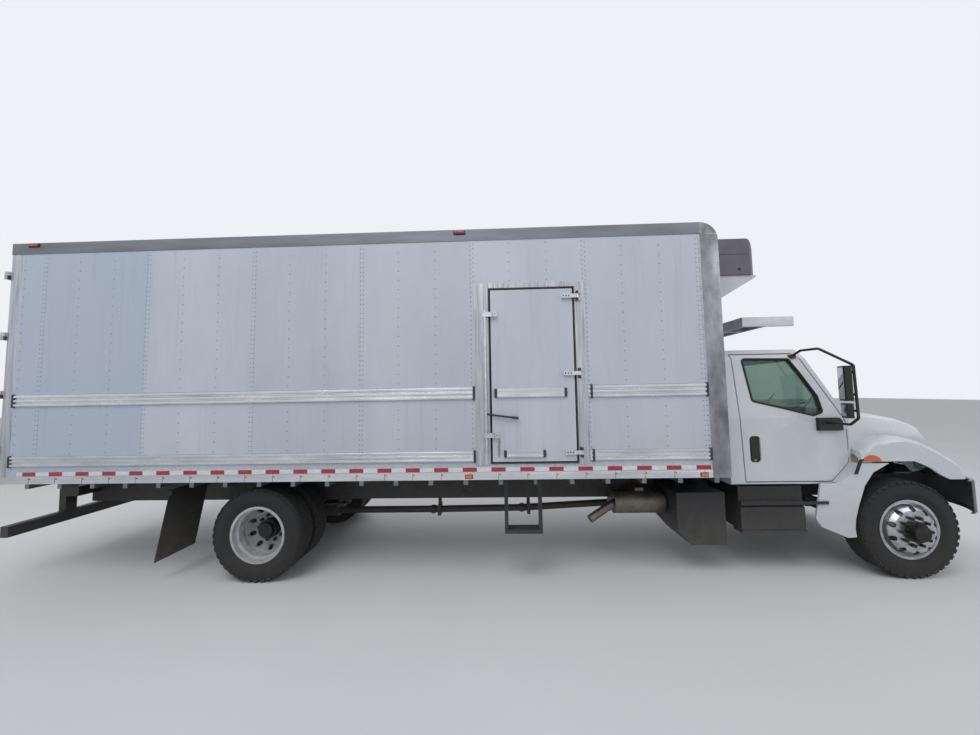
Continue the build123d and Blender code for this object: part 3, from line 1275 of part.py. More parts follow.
def refrigeration_unit():
    """Nose-mounted cover with bevelled corners and a slatted front vent, over a sloping skirt."""
    x0 = BOX_FRONT_X
    x1 = x0 + UNIT_DEPTH
    bevel = [(x1 + x, UNIT_TOP + z) for x, z in UNIT_CHAMFER]
    side = outline((x0, UNIT_SPLIT), (x1, UNIT_SPLIT), *bevel, (x0, UNIT_TOP))
    corner = UNIT_CORNER
    plan = outline((x0, -UNIT_HALF), (x1 - corner, -UNIT_HALF), (x1, -UNIT_HALF + corner), (x1, UNIT_HALF - corner),
                   (x1 - corner, UNIT_HALF), (x0, UNIT_HALF))
    cover = thick_y(side, -UNIT_HALF, UNIT_HALF) & thick_z(plan, UNIT_SPLIT, UNIT_TOP)
    low, high = (UNIT_TOP + z for z in GRILLE_BAND)
    cover -= block(x1 - VENT_DEPTH, x1 + 1, -VENT_HALF, VENT_HALF, low, high)
    z = low + SLAT_PITCH - SLAT_HEIGHT
    while z + SLAT_HEIGHT < high:
        cover += block(x1 - VENT_DEPTH - 1, x1 - 4, -VENT_HALF - 1, VENT_HALF + 1, z, z + SLAT_HEIGHT)
        z += SLAT_PITCH
    foot = UNIT_FOOT - SKIRT_FOOT
    inner = UNIT_HALF - SKIRT_TUCK
    skirt = thick_y(outline((x0, foot), (x0 + SKIRT_REACH, foot), (x1, UNIT_SPLIT - SKIRT_TUCK), (x1, UNIT_SPLIT),
                            (x0, UNIT_SPLIT)), -inner, inner)
    return Part() + [cover + skirt]


PLATFORM_SKIN = 40
PLATFORM_ARM_Y = 500
PLATFORM_ARM_HALF = 25
PLATFORM_DECK_SHORT = 290


def service_platform():
    """Deck ahead of the box on two arms, between side beams that reach further forward."""
    x0 = BOX_FRONT_X + PLATFORM_BACK
    x1 = x0 + PLATFORM_LENGTH
    deck_end = x1 - PLATFORM_DECK_SHORT
    low = PLATFORM_TOP - PLATFORM_DEPTH
    under = PLATFORM_TOP - PLATFORM_SKIN
    half = PLATFORM_SKIN / 2
    beam_y = UNIT_HALF - half
    pieces = [block(x0, deck_end, -UNIT_HALF, UNIT_HALF, under, PLATFORM_TOP)]
    pieces.append(both_sides(block(x0, x1, beam_y - half, beam_y + half, low, PLATFORM_TOP)))
    pieces.append(both_sides(block(BOX_FRONT_X, deck_end, PLATFORM_ARM_Y - PLATFORM_ARM_HALF,
                                   PLATFORM_ARM_Y + PLATFORM_ARM_HALF, low, under)))
    for x in (x0, deck_end - PLATFORM_SKIN):
        pieces.append(block(x, x + PLATFORM_SKIN, -beam_y, beam_y, low, PLATFORM_TOP))
    return Part() + pieces


# Marker lamps. On the sides: ahead of the box's rear, height, half length. At the rear: off the middle.
SIDE_LAMPS = ((5232, BOX_UNDERSIDE + 34, 35), (7681, BOX_UNDERSIDE + 32, 35), (262, BOX_TOP - 29, 60),
              (5162, BOX_TOP - 36, 60))
SIDE_LAMP_HALF_HEIGHT = 16
BODY_LAMP_PROUD = 18
REAR_TOP_LAMPS = (-800, -150, 0, 150, 800)
REAR_LOW_LAMPS = (-900, -780, 780, 900)
REAR_LAMP_HALF = 50


def body_lamps():
    lamps = []
    y = BOX_HALF + TRIM_PROUD
    for ahead, z, half in SIDE_LAMPS:
        x = BOX_REAR_X + ahead
        lamps.append(both_sides(block(x - half, x + half, y + SEAT_GAP, y + BODY_LAMP_PROUD,
                                      z - SIDE_LAMP_HALF_HEIGHT, z + SIDE_LAMP_HALF_HEIGHT)))
    x0 = BOX_REAR_X - BODY_LAMP_PROUD
    x1 = BOX_REAR_X - SEAT_GAP
    half = REAR_LAMP_HALF
    for middle in REAR_TOP_LAMPS:
        lamps.append(block(x0, x1, middle - half, middle + half, BOX_TOP - 80, BOX_TOP - 45))
    for middle in REAR_LOW_LAMPS:
        low = BOX_UNDERSIDE + 30
        lamps.append(thick_x(Pos(middle, low + half) * Circle(half), x0, x1))
    return Part() + lamps


PIECES = {
    "chassis_frame": chassis_frame,
    "mudflaps": mudflaps,
    "driveshaft": driveshaft,
    "engine": engine,
    "exhaust": exhaust,
    "tanks_and_steps": tanks_and_steps,
    "front_axle": front_axle,
    "rear_axle": rear_axle,
    "bumper": bumper,
    "cab_shell": cab_shell,
    "cab_glass": cab_glass,
    "seats": seats,
    "dashboard": dashboard,
    "box_floor": box_floor,
    "box_wall_left": side_wall,
    "box_wall_right": right_wall,
    "box_wall_front": front_wall,
    "box_roof": box_roof,
    "rear_frame": rear_frame,
    "side_door_frame": side_door_frame,
    "box_trim": box_trim,
    "refrigeration_unit": refrigeration_unit,
    "service_platform": service_platform,
    "body_lamps": body_lamps,
    "side_door": side_door,
    "rear_door_left": rear_door,
    "rear_door_right": lambda: other_side(rear_door()),
    "hood": hood,
    "grille": grille,
    "headlamps": headlamps,
    "cab_door_left": cab_door,
    "cab_door_right": lambda: other_side(cab_door()),
    "door_glass_left": door_glass,
    "door_glass_right": lambda: other_side(door_glass()),
    "mirror_left": mirror_set,
    "mirror_right": lambda: other_side(mirror_set()),
    "knuckle_left": knuckle,
    "knuckle_right": lambda: other_side(knuckle()),
    "tyre_front_left": lambda: FRONT_PLACE * tyre_ring(),
    "tyre_front_right": lambda: other_side(FRONT_PLACE * tyre_ring()),
    "wheel_front_left": lambda: FRONT_PLACE * front_wheel(),
    "wheel_front_right": lambda: other_side(FRONT_PLACE * front_wheel()),
    "tyres_rear_left": lambda: REAR_PLACE * twin_tyres(),
    "tyres_rear_right": lambda: other_side(REAR_PLACE * twin_tyres()),
    "wheels_rear_left": lambda: REAR_PLACE * rear_wheel_pair(),
    "wheels_rear_right": lambda: other_side(REAR_PLACE * rear_wheel_pair()),
}

os.makedirs("parts", exist_ok=True)
for name, make in PIECES.items():
    export_step(make(), f"parts/{name}.step")
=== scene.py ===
from contextlib import contextmanager
import math
import bmesh
import bpy
from mathutils import Matrix, Vector


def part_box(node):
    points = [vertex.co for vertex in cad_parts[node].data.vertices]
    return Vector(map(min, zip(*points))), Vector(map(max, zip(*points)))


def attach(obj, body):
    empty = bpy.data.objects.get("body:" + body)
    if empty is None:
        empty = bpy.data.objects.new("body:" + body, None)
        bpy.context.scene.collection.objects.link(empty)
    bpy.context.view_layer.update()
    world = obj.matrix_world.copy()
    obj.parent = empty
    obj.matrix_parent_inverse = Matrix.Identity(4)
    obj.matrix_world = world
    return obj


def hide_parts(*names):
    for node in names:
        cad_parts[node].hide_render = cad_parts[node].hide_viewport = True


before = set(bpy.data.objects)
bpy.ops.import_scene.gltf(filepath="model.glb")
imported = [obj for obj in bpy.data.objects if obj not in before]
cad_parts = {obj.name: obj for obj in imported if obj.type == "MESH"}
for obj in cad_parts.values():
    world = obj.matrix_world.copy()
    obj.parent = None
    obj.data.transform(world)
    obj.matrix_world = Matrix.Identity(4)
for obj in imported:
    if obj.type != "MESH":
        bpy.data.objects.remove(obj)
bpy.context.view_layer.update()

# The ladder frame: pressed steel channels with bolted crossmembers, dipped in black chassis paint.
# The paint is thin and satin, and road dust lies on it, thicker towards the ground.


def linear(code):
    """An sRGB hex colour as the linear values that a socket takes."""
    parts = [int(code[i:i + 2], 16) / 255 for i in (1, 3, 5)]
    return tuple(c / 12.92 if c <= 0.04045 else ((c + 0.055) / 1.055) ** 2.4 for c in parts) + (1.0,)


def node(tree, kind, settings=None, out=0):
    """Adds a node and gives an output of it. A setting is a property or an input, linked if it's a socket."""
    made = tree.nodes.new("ShaderNode" + kind)
    for key, value in (settings or {}).items():
        if isinstance(value, bpy.types.NodeSocket):
            tree.links.new(value, made.inputs[key])
        elif isinstance(key, int) or key in made.inputs:
            made.inputs[key].default_value = value
        else:
            setattr(made, key, value)
    return made.outputs[out]


def surface(name, light, dark, patch_mm, rough, metallic=0.0, grain=None, dust=None, streak=(1, 1, 1),
            settings=None):
    """A weathered surface: two close colours and two roughnesses in patches, fine grain, dust from below.

    grain is its pitch and height in millimetres; dust is its colour, the height where it ends and its depth.
    """
    material = bpy.data.materials.new(name)
    material.use_nodes = True
    tree = material.node_tree
    shader = tree.nodes["Principled BSDF"]
    place = node(tree, "TexCoord", out="Object")
    drawn = node(tree, "Mapping", {"Scale": streak, "Vector": place})
    patches = node(tree, "TexNoise", {"Scale": 1000 / patch_mm, "Detail": 6.0, "Roughness": 0.6,
                                      "Vector": drawn})
    tone = node(tree, "MapRange", {"From Min": 0.3, "From Max": 0.7, "Value": patches})
    colour = node(tree, "Mix", {"data_type": "RGBA", "Factor": tone, 6: linear(dark), 7: linear(light)}, 2)
    shine = node(tree, "MapRange", {"From Min": 0.3, "From Max": 0.7, "To Min": rough[0], "To Max": rough[1],
                                    "Value": patches})
    if dust:
        shade, top, most = dust
        height = node(tree, "SeparateXYZ", {"Vector": place}, "Z")
        low = node(tree, "MapRange", {"From Min": top, "From Max": 0.1, "To Max": most, "Value": height})
        cloud = node(tree, "TexNoise", {"Scale": 7.0, "Detail": 8.0, "Roughness": 0.7, "Vector": place})
        much = node(tree, "Math", {"operation": "MULTIPLY", 0: cloud, 1: 1.6})
        amount = node(tree, "Math", {"operation": "MULTIPLY", "use_clamp": True, 0: low, 1: much})
        colour = node(tree, "Mix", {"data_type": "RGBA", "Factor": amount, 6: colour, 7: linear(shade)}, 2)
        shine = node(tree, "Mix", {"data_type": "FLOAT", "Factor": amount, 2: shine, 3: 0.85})
    tree.links.new(colour, shader.inputs["Base Color"])
    tree.links.new(shine, shader.inputs["Roughness"])
    for key, value in {"Metallic": metallic, **(settings or {})}.items():
        shader.inputs[key].default_value = value
    if grain:
        pitch, high = grain
        fine = node(tree, "TexNoise", {"Scale": 1000 / pitch, "Detail": 3.0, "Vector": drawn})
        bump = node(tree, "Bump", {"Strength": 0.5, "Distance": high / 1000, "Height": fine})
        tree.links.new(bump, shader.inputs["Normal"])
    return material


def clear_selection():
    bpy.ops.object.select_all(action="DESELECT")


def pick(thing):
    """Makes this the only selected and active piece."""
    clear_selection()
    thing.select_set(True)
    bpy.context.view_layer.objects.active = thing
    return thing


@contextmanager
def editing(thing, action="SELECT"):
    """Edit mode on one piece, with all of it or nothing selected."""
    pick(thing)
    bpy.ops.object.mode_set(mode="EDIT")
    bpy.ops.mesh.select_all(action=action)
    yield
    bpy.ops.object.mode_set(mode="OBJECT")


def settle(thing):
    """Puts the piece's place, turn and size into its mesh."""
    pick(thing)
    bpy.ops.object.transform_apply(location=True, rotation=True, scale=True)
    return thing


def apply_all(thing):
    """Applies every modifier in order."""
    pick(thing)
    for modifier in list(thing.modifiers):
        bpy.ops.object.modifier_apply(modifier=modifier.name)
    return thing


def joined(things):
    """One piece from several."""
    clear_selection()
    for thing in things:
        thing.select_set(True)
    bpy.context.view_layer.objects.active = things[0]
    if len(things) > 1:
        bpy.ops.object.join()
    return things[0]


def smooth(thing, angle=35):
    pick(thing)
    bpy.ops.object.shade_smooth_by_angle(angle=math.radians(angle))
    return thing


def eased(thing, width, segments=2):
    """Breaks the sharp edges."""
    edge = thing.modifiers.new("edge", "BEVEL")
    edge.width = width
    edge.segments = segments
    edge.limit_method = "ANGLE"
    edge.angle_limit = math.radians(35)
    edge.use_clamp_overlap = True
    return apply_all(thing)


def done(thing, name, body, material):
    """Names a finished piece, gives it its finish and lets it ride."""
    thing.name = name
    thing.data.name = name
    thing.data.materials.clear()
    thing.data.materials.append(material)
    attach(thing, body)
    return thing


def merged_copy(name):
    """A CAD node's mesh again, with its loose triangles merged."""
    thing = bpy.data.objects.new(name + "_finished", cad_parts[name].data.copy())
    bpy.context.scene.collection.objects.link(thing)
    with editing(thing):
        bpy.ops.mesh.remove_doubles(threshold=0.00005)
        bpy.ops.mesh.customdata_custom_splitnormals_clear()
    return thing


def smooth_copy(name, body, material, angle=35, bevel=0.0):
    """A CAD node again with its facets smoothed and its edges broken, standing for that node."""
    thing = merged_copy(name)
    if bevel:
        with editing(thing):
            bpy.ops.mesh.dissolve_limited(angle_limit=math.radians(0.5))
        eased(thing, bevel)
    smooth(thing, angle)
    even = thing.modifiers.new("even", "WEIGHTED_NORMAL")
    even.keep_sharp = True
    apply_all(thing)
    done(thing, name + "_finished", body, material)
    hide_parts(name)
    return thing


def rod(start, end, radius, sides=16, bevel=0.0):
    """A round bar between two points."""
    clear_selection()
    start, end = Vector(start), Vector(end)
    way = end - start
    bpy.ops.mesh.primitive_cylinder_add(vertices=sides, radius=radius, depth=way.length,
                                        location=(start + end) / 2,
                                        rotation=way.to_track_quat("Z", "Y").to_euler())
    thing = settle(bpy.context.active_object)
    if bevel:
        eased(thing, bevel)
    return smooth(thing)


def again(thing, shift=(0, 0, 0)):
    """A copy of a piece with its own mesh, moved by a step."""
    pick(thing)
    bpy.ops.object.duplicate()
    other = bpy.context.active_object
    other.location = shift
    return settle(other)


def repeated(thing, *steps):
    """Copies a piece along one or more steps, each a step and a count."""
    for step, count in steps:
        if count > 1:
            row = thing.modifiers.new("row", "ARRAY")
            row.use_relative_offset = False
            row.use_constant_offset = True
            row.constant_offset_displace = step
            row.count = count
    return apply_all(thing)


def mirrored(thing):
    """A copy of the piece on the truck's other side."""
    other = again(thing)
    other.scale = (1, -1, 1)
    with editing(settle(other)):
        bpy.ops.mesh.normals_make_consistent(inside=False)
    return other


def on_both_sides(thing):
    return joined([thing, mirrored(thing)])


DUST = "#716c65"
FRONT_AXLE_X = 4.461
REAR_AXLE_X = -2.501
AXLE_Z = 0.5
RAIL_WEB_Y = 0.432
BOLT_X = REAR_AXLE_X + 0.67
BOLT_Z = 0.74
chassis_black = surface("black_chassis_paint", "#1c1d1f", "#111213", 180, (0.42, 0.62), grain=(6, 0.15),
                        dust=(DUST, 1.1, 0.5))
smooth_copy("chassis_frame", "chassis", chassis_black, 35, 0.002)
bolt = rod((BOLT_X, RAIL_WEB_Y, BOLT_Z), (BOLT_X, RAIL_WEB_Y + 0.011, BOLT_Z), 0.012, 6, 0.002)
repeated(bolt, ((0.06, 0, 0), 2), ((0, 0, 0.055), 3), ((1.5, 0, 0), 4))
done(on_both_sides(bolt), "crossmember_bolts", "chassis", chassis_black)

# Springs, axles and knuckles are forged and cast steel under the same black, rougher and dustier.
# The banjo axle and the shafts show the sand-cast grain of about 3 mm.
cast_black = surface("painted_castings", "#26272a", "#17181a", 90, (0.55, 0.8), grain=(3, 0.5),
                     dust=(DUST, 1.0, 0.75))
shaft_steel = surface("dusty_shaft_tube", "#4a4744", "#2d2c2b", 120, (0.5, 0.75), metallic=0.4,
                      grain=(4, 0.2), dust=(DUST, 0.9, 0.6))
engine_iron = surface("painted_engine_iron", "#4b4e52", "#34363a", 120, (0.45, 0.7), metallic=0.2,
                      grain=(4, 0.4), dust=(DUST, 1.2, 0.5))
for name, body in (("front_axle", "chassis"), ("rear_axle", "chassis"), ("knuckle_left", "left_knuckle"),
                   ("knuckle_right", "right_knuckle")):
    smooth_copy(name, body, cast_black, 32, 0.003)
smooth_copy("driveshaft", "chassis", shaft_steel, 32, 0.0015)
smooth_copy("engine", "chassis", engine_iron, 32, 0.008)

# The exhaust canister and tail pipe are aluminised steel, dulled brown by heat. Two steel bands, each with a
# bolted lug, hold the canister, and its end caps are rolled over at the edge.


def slab(corner, other, bevel=0.0, segments=2):
    """A box between two opposite corners, with its edges broken."""
    clear_selection()
    corner, other = Vector(corner), Vector(other)
    bpy.ops.mesh.primitive_cube_add(size=1, location=(corner + other) / 2)
    thing = bpy.context.active_object
    thing.scale = [abs(length) for length in other - corner]
    settle(thing)
    return eased(thing, bevel, segments) if bevel else thing


CAN_X = (1.497, 2.077)
CAN_Y = -0.595
CAN_Z = 0.690
CAN_RADIUS = 0.125
BAND_PROUD = 0.004
LUG_Y = CAN_Y - CAN_RADIUS - BAND_PROUD
END_BANDS_X = (CAN_X[0] + 0.012, CAN_X[1] - 0.012)
HOLDING_BANDS_X = (CAN_X[0] + 0.16, CAN_X[1] - 0.16)
heated_steel = surface("heat_dulled_steel", "#8b857c", "#5d554c", 140, (0.38, 0.6), metallic=0.85,
                       grain=(5, 0.1), dust=(DUST, 0.9, 0.5))
smooth_copy("exhaust", "chassis", heated_steel, 32, 0.002)
bands = []
for places, half in ((END_BANDS_X, 0.008), (HOLDING_BANDS_X, 0.017)):
    for x in places:
        bands.append(rod((x - half, CAN_Y, CAN_Z), (x + half, CAN_Y, CAN_Z), CAN_RADIUS + BAND_PROUD, 40,
                         0.0015))
for x in HOLDING_BANDS_X:
    bands.append(slab((x - 0.017, LUG_Y - 0.022, CAN_Z - 0.012), (x + 0.017, LUG_Y + 0.02, CAN_Z + 0.012),
                      0.002))
    bands.append(rod((x, LUG_Y - 0.012, CAN_Z - 0.022), (x, LUG_Y - 0.012, CAN_Z + 0.022), 0.006, 8, 0.001))
done(joined(bands), "exhaust_bands", "chassis", heated_steel)

# Steps and boxes: black powder coat over pressed steel. The top treads carry rows of raised grip
# buttons, worn bright, and two steel straps hold the fuel tank on the left.
step_black = surface("black_powder_coat", "#222326", "#151618", 100, (0.45, 0.68), grain=(2, 0.2),
                     dust=(DUST, 0.9, 0.55))
worn_tread = surface("worn_tread_aluminium", "#9b9da0", "#6c6e71", 30, (0.3, 0.5), metallic=0.8,
                     grain=(3, 0.1))
BUTTON_X = 2.801
BUTTON_Y = 1.065
TREAD_TOP_Z = 0.780
# The places of the tank straps along the truck, and two corners of one, across and up.
TANK_STRAPS_X = (2.93, 3.26)
TANK_STRAP_YZ = ((0.428, 0.474), (1.051, 0.941))
smooth_copy("tanks_and_steps", "chassis", step_black, 32, 0.003)
buttons = []
for side in (-1, 1):
    button = rod((BUTTON_X, side * BUTTON_Y, TREAD_TOP_Z - 0.001),
                 (BUTTON_X, side * BUTTON_Y, TREAD_TOP_Z + 0.004), 0.007, 8, 0.002)
    buttons.append(repeated(button, ((0.0312, 0, 0), 21), ((0, -side * 0.03, 0), 5)))
done(joined(buttons), "step_grip_buttons", "chassis", worn_tread)
straps = [slab((x - 0.02, *TANK_STRAP_YZ[0]), (x + 0.02, *TANK_STRAP_YZ[1]), 0.03, 3)
          for x in TANK_STRAPS_X]
done(joined(straps), "fuel_tank_straps", "chassis", worn_tread)

# The mudflaps are 10 mm sheets of black rubber, scuffed and greyed by spray, each hung from a bar
# by a row of bolts with a clamping strip.
flap_rubber = surface("mudflap_rubber", "#2a2b2c", "#161717", 200, (0.7, 0.9), grain=(5, 0.3),
                      dust=(DUST, 1.0, 0.7), streak=(1, 1, 0.25))
smooth_copy("mudflaps", "chassis", flap_rubber, 32, 0.002)

# Tyres: carbon-black rubber, matt, with worn shoulders and a dusty sidewall. The cut shoulder lugs are short
# blocks; the ribs of the tread and the rings of the sidewall are finer and come from the material. The
# grooves and sipes of the tread are painted near black, a painted shade.


def overlaid(material, factor, colour):
    """Lays a colour over the material's own, as far as the factor says."""
    tree = material.node_tree
    base = tree.nodes["Principled BSDF"].inputs["Base Color"]
    mixed = node(tree, "Mix", {"data_type": "RGBA", "Factor": factor, 6: base.links[0].from_socket,
                               7: linear(colour)}, 2)
    tree.links.new(mixed, base)


SINGLE_Y = 1.018
PAIR_Y = 0.9145
TWIN_SPREAD = 0.1715
rubber = surface("tread_rubber", "#1e1f21", "#131415", 70, (0.72, 0.9), grain=(4, 0.5),
                 dust=("#5f5b56", 1.0, 0.18))
tree = rubber.node_tree
place = node(tree, "TexCoord", out="Object")
lines = {axis: node(tree, "SeparateXYZ", {"Vector": place}, axis) for axis in "XYZ"}
# Each row is a step: its name, what it does, and the names or numbers that it works on.
TYRE_STEPS = (
    ("is_front", "GREATER_THAN", "X", 1.0),
    ("axle_shift", "MULTIPLY", "is_front", FRONT_AXLE_X - REAR_AXLE_X),
    ("behind", "SUBTRACT", "X", "axle_shift"),
    ("ahead", "SUBTRACT", "behind", REAR_AXLE_X),
    ("above", "SUBTRACT", "Z", AXLE_Z),
    ("ahead_squared", "POWER", "ahead", 2.0),
    ("above_squared", "POWER", "above", 2.0),
    ("radius_squared", "ADD", "ahead_squared", "above_squared"),
    ("radius", "POWER", "radius_squared", 0.5),
    ("turn", "ARCTAN2", "above", "ahead"),
    ("out", "ABSOLUTE", "Y", 0.0),
    ("out_of_single", "SUBTRACT", "out", SINGLE_Y),
    ("out_of_pair", "SUBTRACT", "out", PAIR_Y),
    ("out_of_pair_middle", "ABSOLUTE", "out_of_pair", 0.0),
    ("out_of_twin", "SUBTRACT", "out_of_pair_middle", TWIN_SPREAD),
    ("single_part", "MULTIPLY", "out_of_single", "is_front"),
    ("is_rear", "SUBTRACT", 1.0, "is_front"),
    ("twin_part", "MULTIPLY", "out_of_twin", "is_rear"),
    ("across", "ADD", "single_part", "twin_part"),
    ("across_both", "ABSOLUTE", "across", 0.0),
    ("in_tread", "GREATER_THAN", "radius", 0.488),
    ("outer_groove", "COMPARE", "across_both", 0.052),
    ("middle_groove", "LESS_THAN", "across_both", 0.006),
    ("sipe_wave_turn", "MULTIPLY", "turn", 60.0),
    ("sipe_wave", "SINE", "sipe_wave_turn", 0.0),
    ("sipe", "GREATER_THAN", "sipe_wave", 0.93),
    ("grooves", "MAXIMUM", "outer_groove", "middle_groove"),
    ("any_cut", "MAXIMUM", "grooves", "sipe"),
    ("cuts", "MULTIPLY", "any_cut", "in_tread"),
    ("ring_turn", "MULTIPLY", "radius", 900.0),
    ("ring_wave", "SINE", "ring_turn", 0.0),
    ("ring_zone", "COMPARE", "radius", 0.405),
    ("rings", "MULTIPLY", "ring_wave", "ring_zone"),
    ("bead_zone", "COMPARE", "radius", 0.333),
    ("bead_rings", "MULTIPLY", "ring_wave", "bead_zone"),
    ("fin_turn", "MULTIPLY", "turn", 140.0),
    ("fin_wave", "SINE", "fin_turn", 0.0),
    ("fin_zone", "COMPARE", "radius", 0.455),
    ("fins", "MULTIPLY", "fin_wave", "fin_zone"),
    ("both_rings", "ADD", "rings", "bead_rings"),
    ("raised", "ADD", "both_rings", "fins"),
    ("low_relief", "MULTIPLY", "raised", 0.18),
    ("deep_cuts", "MULTIPLY", "cuts", 2.0),
    ("relief", "SUBTRACT", "low_relief", "deep_cuts"))
COMPARE_WIDTHS = {"outer_groove": 0.007, "ring_zone": 0.016, "bead_zone": 0.012, "fin_zone": 0.010}
for name, operation, first, second in TYRE_STEPS:
    lines[name] = node(tree, "Math", {"operation": operation, 0: lines.get(first, first),
                                      1: lines.get(second, second), 2: COMPARE_WIDTHS.get(name, 0.0)})
normal_input = tree.nodes["Principled BSDF"].inputs["Normal"]
relief = node(tree, "Bump", {"Strength": 0.9, "Distance": 0.003, "Height": lines["relief"],
                             "Normal": normal_input.links[0].from_socket})
tree.links.new(relief, normal_input)
# Painted shade: the grooves and sipes of the tread are painted near black.
overlaid(rubber, lines["cuts"], "#0c0c0c")

LUG_COUNT = 40
LUG_SIZE = Vector((0.044, 0.026, 0.046))
LUG_SLANT = math.radians(38)
LUG_OUT_Y = 0.1125
LUG_RADIUS = 0.4725
TYRES = (("left_front_wheel", "tyre_front_left", (0.0,)), ("right_front_wheel", "tyre_front_right", (0.0,)),
         ("left_rear_wheels", "tyres_rear_left", (-TWIN_SPREAD, TWIN_SPREAD)),
         ("right_rear_wheels", "tyres_rear_right", (-TWIN_SPREAD, TWIN_SPREAD)))


def lug_ring(middle, side):
    """The lugs round one shoulder of a tyre: a slanted block, copied round the axle."""
    lug = slab(-LUG_SIZE / 2, LUG_SIZE / 2)
    lug.rotation_euler = (-side * LUG_SLANT, 0, 0)
    lug.location = (0, side * LUG_OUT_Y, LUG_RADIUS)
    settle(lug)
    turn = bpy.data.objects.new("turn", None)
    bpy.context.scene.collection.objects.link(turn)
    turn.rotation_euler = (0, 2 * math.pi / LUG_COUNT, 0)
    ring = lug.modifiers.new("ring", "ARRAY")
    ring.use_relative_offset = False
    ring.use_object_offset = True
    ring.offset_object = turn
    ring.count = LUG_COUNT
    apply_all(lug)
    bpy.data.objects.remove(turn)
    lug.location = middle
    return settle(lug)


for body, tyre, spreads in TYRES:
    smooth_copy(tyre, body, rubber, 50)
    low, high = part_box(tyre)
    centre = (low + high) / 2
    lugs = [lug_ring((centre.x, centre.y + spread, AXLE_Z), side) for spread in spreads for side in (-1, 1)]
    done(joined(lugs), tyre + "_lugs", body, rubber)

# Front wheels are forged aluminium discs, polished and lightly pitted; the rear ones are steel discs
# under white enamel, dulled by dust. Hubs and nuts are bare iron, dark with grease and brake dust.


def second_finish(thing, material, chosen):
    """Another finish on the faces that are chosen by their middle and normal."""
    thing.data.materials.append(material)
    last = len(thing.data.materials) - 1
    for face in thing.data.polygons:
        if chosen(face.center, face.normal):
            face.material_index = last
    return thing


polished_wheel = surface("polished_forged_aluminium", "#d0d1d3", "#a3a5a8", 60, (0.16, 0.36), metallic=1.0,
                         grain=(3, 0.05), dust=(DUST, 0.8, 0.25))
white_wheel = surface("dusty_white_enamel", "#c4c6c8", "#9fa2a5", 80, (0.35, 0.6), grain=(4, 0.1),
                      dust=(DUST, 1.0, 0.4))
hub_iron = surface("greasy_hub_iron", "#3a3937", "#232220", 40, (0.35, 0.6), metallic=0.6, grain=(3, 0.3))
NUT_ZONE = 0.165
FRONT_DISC_Y = 1.1905
REAR_DISC_Y = 0.9295


def in_hub(axle, face_y):
    """Whether a point of a wheel is on its hub or nuts, outside the disc's face."""
    return lambda middle, normal: (abs(middle.y) > face_y
                                   and math.hypot(middle.x - axle, middle.z - AXLE_Z) < NUT_ZONE)


for word in ("left", "right"):
    front = smooth_copy("wheel_front_" + word, word + "_front_wheel", polished_wheel, 30)
    second_finish(front, hub_iron, in_hub(FRONT_AXLE_X, FRONT_DISC_Y))
    rear = smooth_copy("wheels_rear_" + word, word + "_rear_wheels", white_wheel, 30)
    second_finish(rear, hub_iron, in_hub(REAR_AXLE_X, REAR_DISC_Y))

# The bumper is a pressed steel channel in dark grey, bolted through its face to the frame's front brackets.
# Its upward-facing top edge is painted a lighter grey, a painted highlight, and the bolt heads take the same
# lighter grey.
bumper_grey = surface("satin_grey_bumper_paint", "#56585c", "#414347", 150, (0.3, 0.5), metallic=0.3,
                      grain=(4, 0.1), dust=(DUST, 0.9, 0.3))
painted_highlight_grey = surface("bumper_top_painted_highlight", "#8d8f92", "#6d6f73", 60, (0.3, 0.5), metallic=0.4,
                      grain=(4, 0.1))
BUMPER_RIM_Z = 0.97
BUMPER_FACE_X = 5.447
BUMPER_BOLT_YZ = (0.36, 0.74)
bumper = smooth_copy("bumper", "chassis", bumper_grey, 30, 0.005)
# Painted highlight: the upward-facing faces along the top edge take the lighter grey.
second_finish(bumper, painted_highlight_grey, lambda middle, normal: normal.z > 0.6 and middle.z > BUMPER_RIM_Z)
bolt = rod((BUMPER_FACE_X, *BUMPER_BOLT_YZ), (BUMPER_FACE_X + 0.0035, *BUMPER_BOLT_YZ), 0.016, 12,
           0.0015)
repeated(bolt, ((0, 0.075, 0), 2), ((0, 0, 0.15), 2))
done(on_both_sides(bolt), "bumper_bolts", "chassis", painted_highlight_grey)

# The cab: pressed steel panels in white two-pack enamel under a clear coat, with a faint orange peel.
# Its doors are hung on the front pillars and carry the same paint.
cab_white = surface("white_cab_enamel", "#cdd1d5", "#c2c6cb", 500, (0.18, 0.3), grain=(12, 0.05),
                    dust=("#a79e90", 1.0, 0.35), settings={"Coat Weight": 0.5, "Coat Roughness": 0.08})
cab = smooth_copy("cab_shell", "chassis", cab_white, 30, 0.0015)
for word in ("left", "right"):
    smooth_copy("cab_door_" + word, word + "_cab_door", cab_white, 30, 0.002)

# Windows are 6 mm tinted safety glass, a little green, each held in a black rubber bead that follows
# the pane's edge. Two wipers with black arms lie on the windscreen.


def dress(material, *names):
    """Gives CAD nodes their finish."""
    for name in names:
        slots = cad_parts[name].data.materials
        slots.clear()
        slots.append(material)


tinted = bpy.data.materials.new("tinted_safety_glass")
tinted.use_nodes = True
tree = tinted.node_tree
pane = tree.nodes["Principled BSDF"].inputs
for key, value in {"Roughness": 0.02, "IOR": 1.45, "Transmission Weight": 0.92}.items():
    pane[key].default_value = value
cloud = node(tree, "TexNoise", {"Scale": 1.5, "Vector": node(tree, "TexCoord", out="Object")})
green = node(tree, "Mix", {"data_type": "RGBA", "Factor": cloud, 6: linear("#9db5ab"),
                           7: linear("#b7cbc3")}, 2)
tree.links.new(green, pane["Base Color"])
seal_rubber = surface("black_seal_rubber", "#1d1e1f", "#131314", 60, (0.5, 0.75), grain=(3, 0.1))
dress(tinted, "cab_glass", "door_glass_left", "door_glass_right")


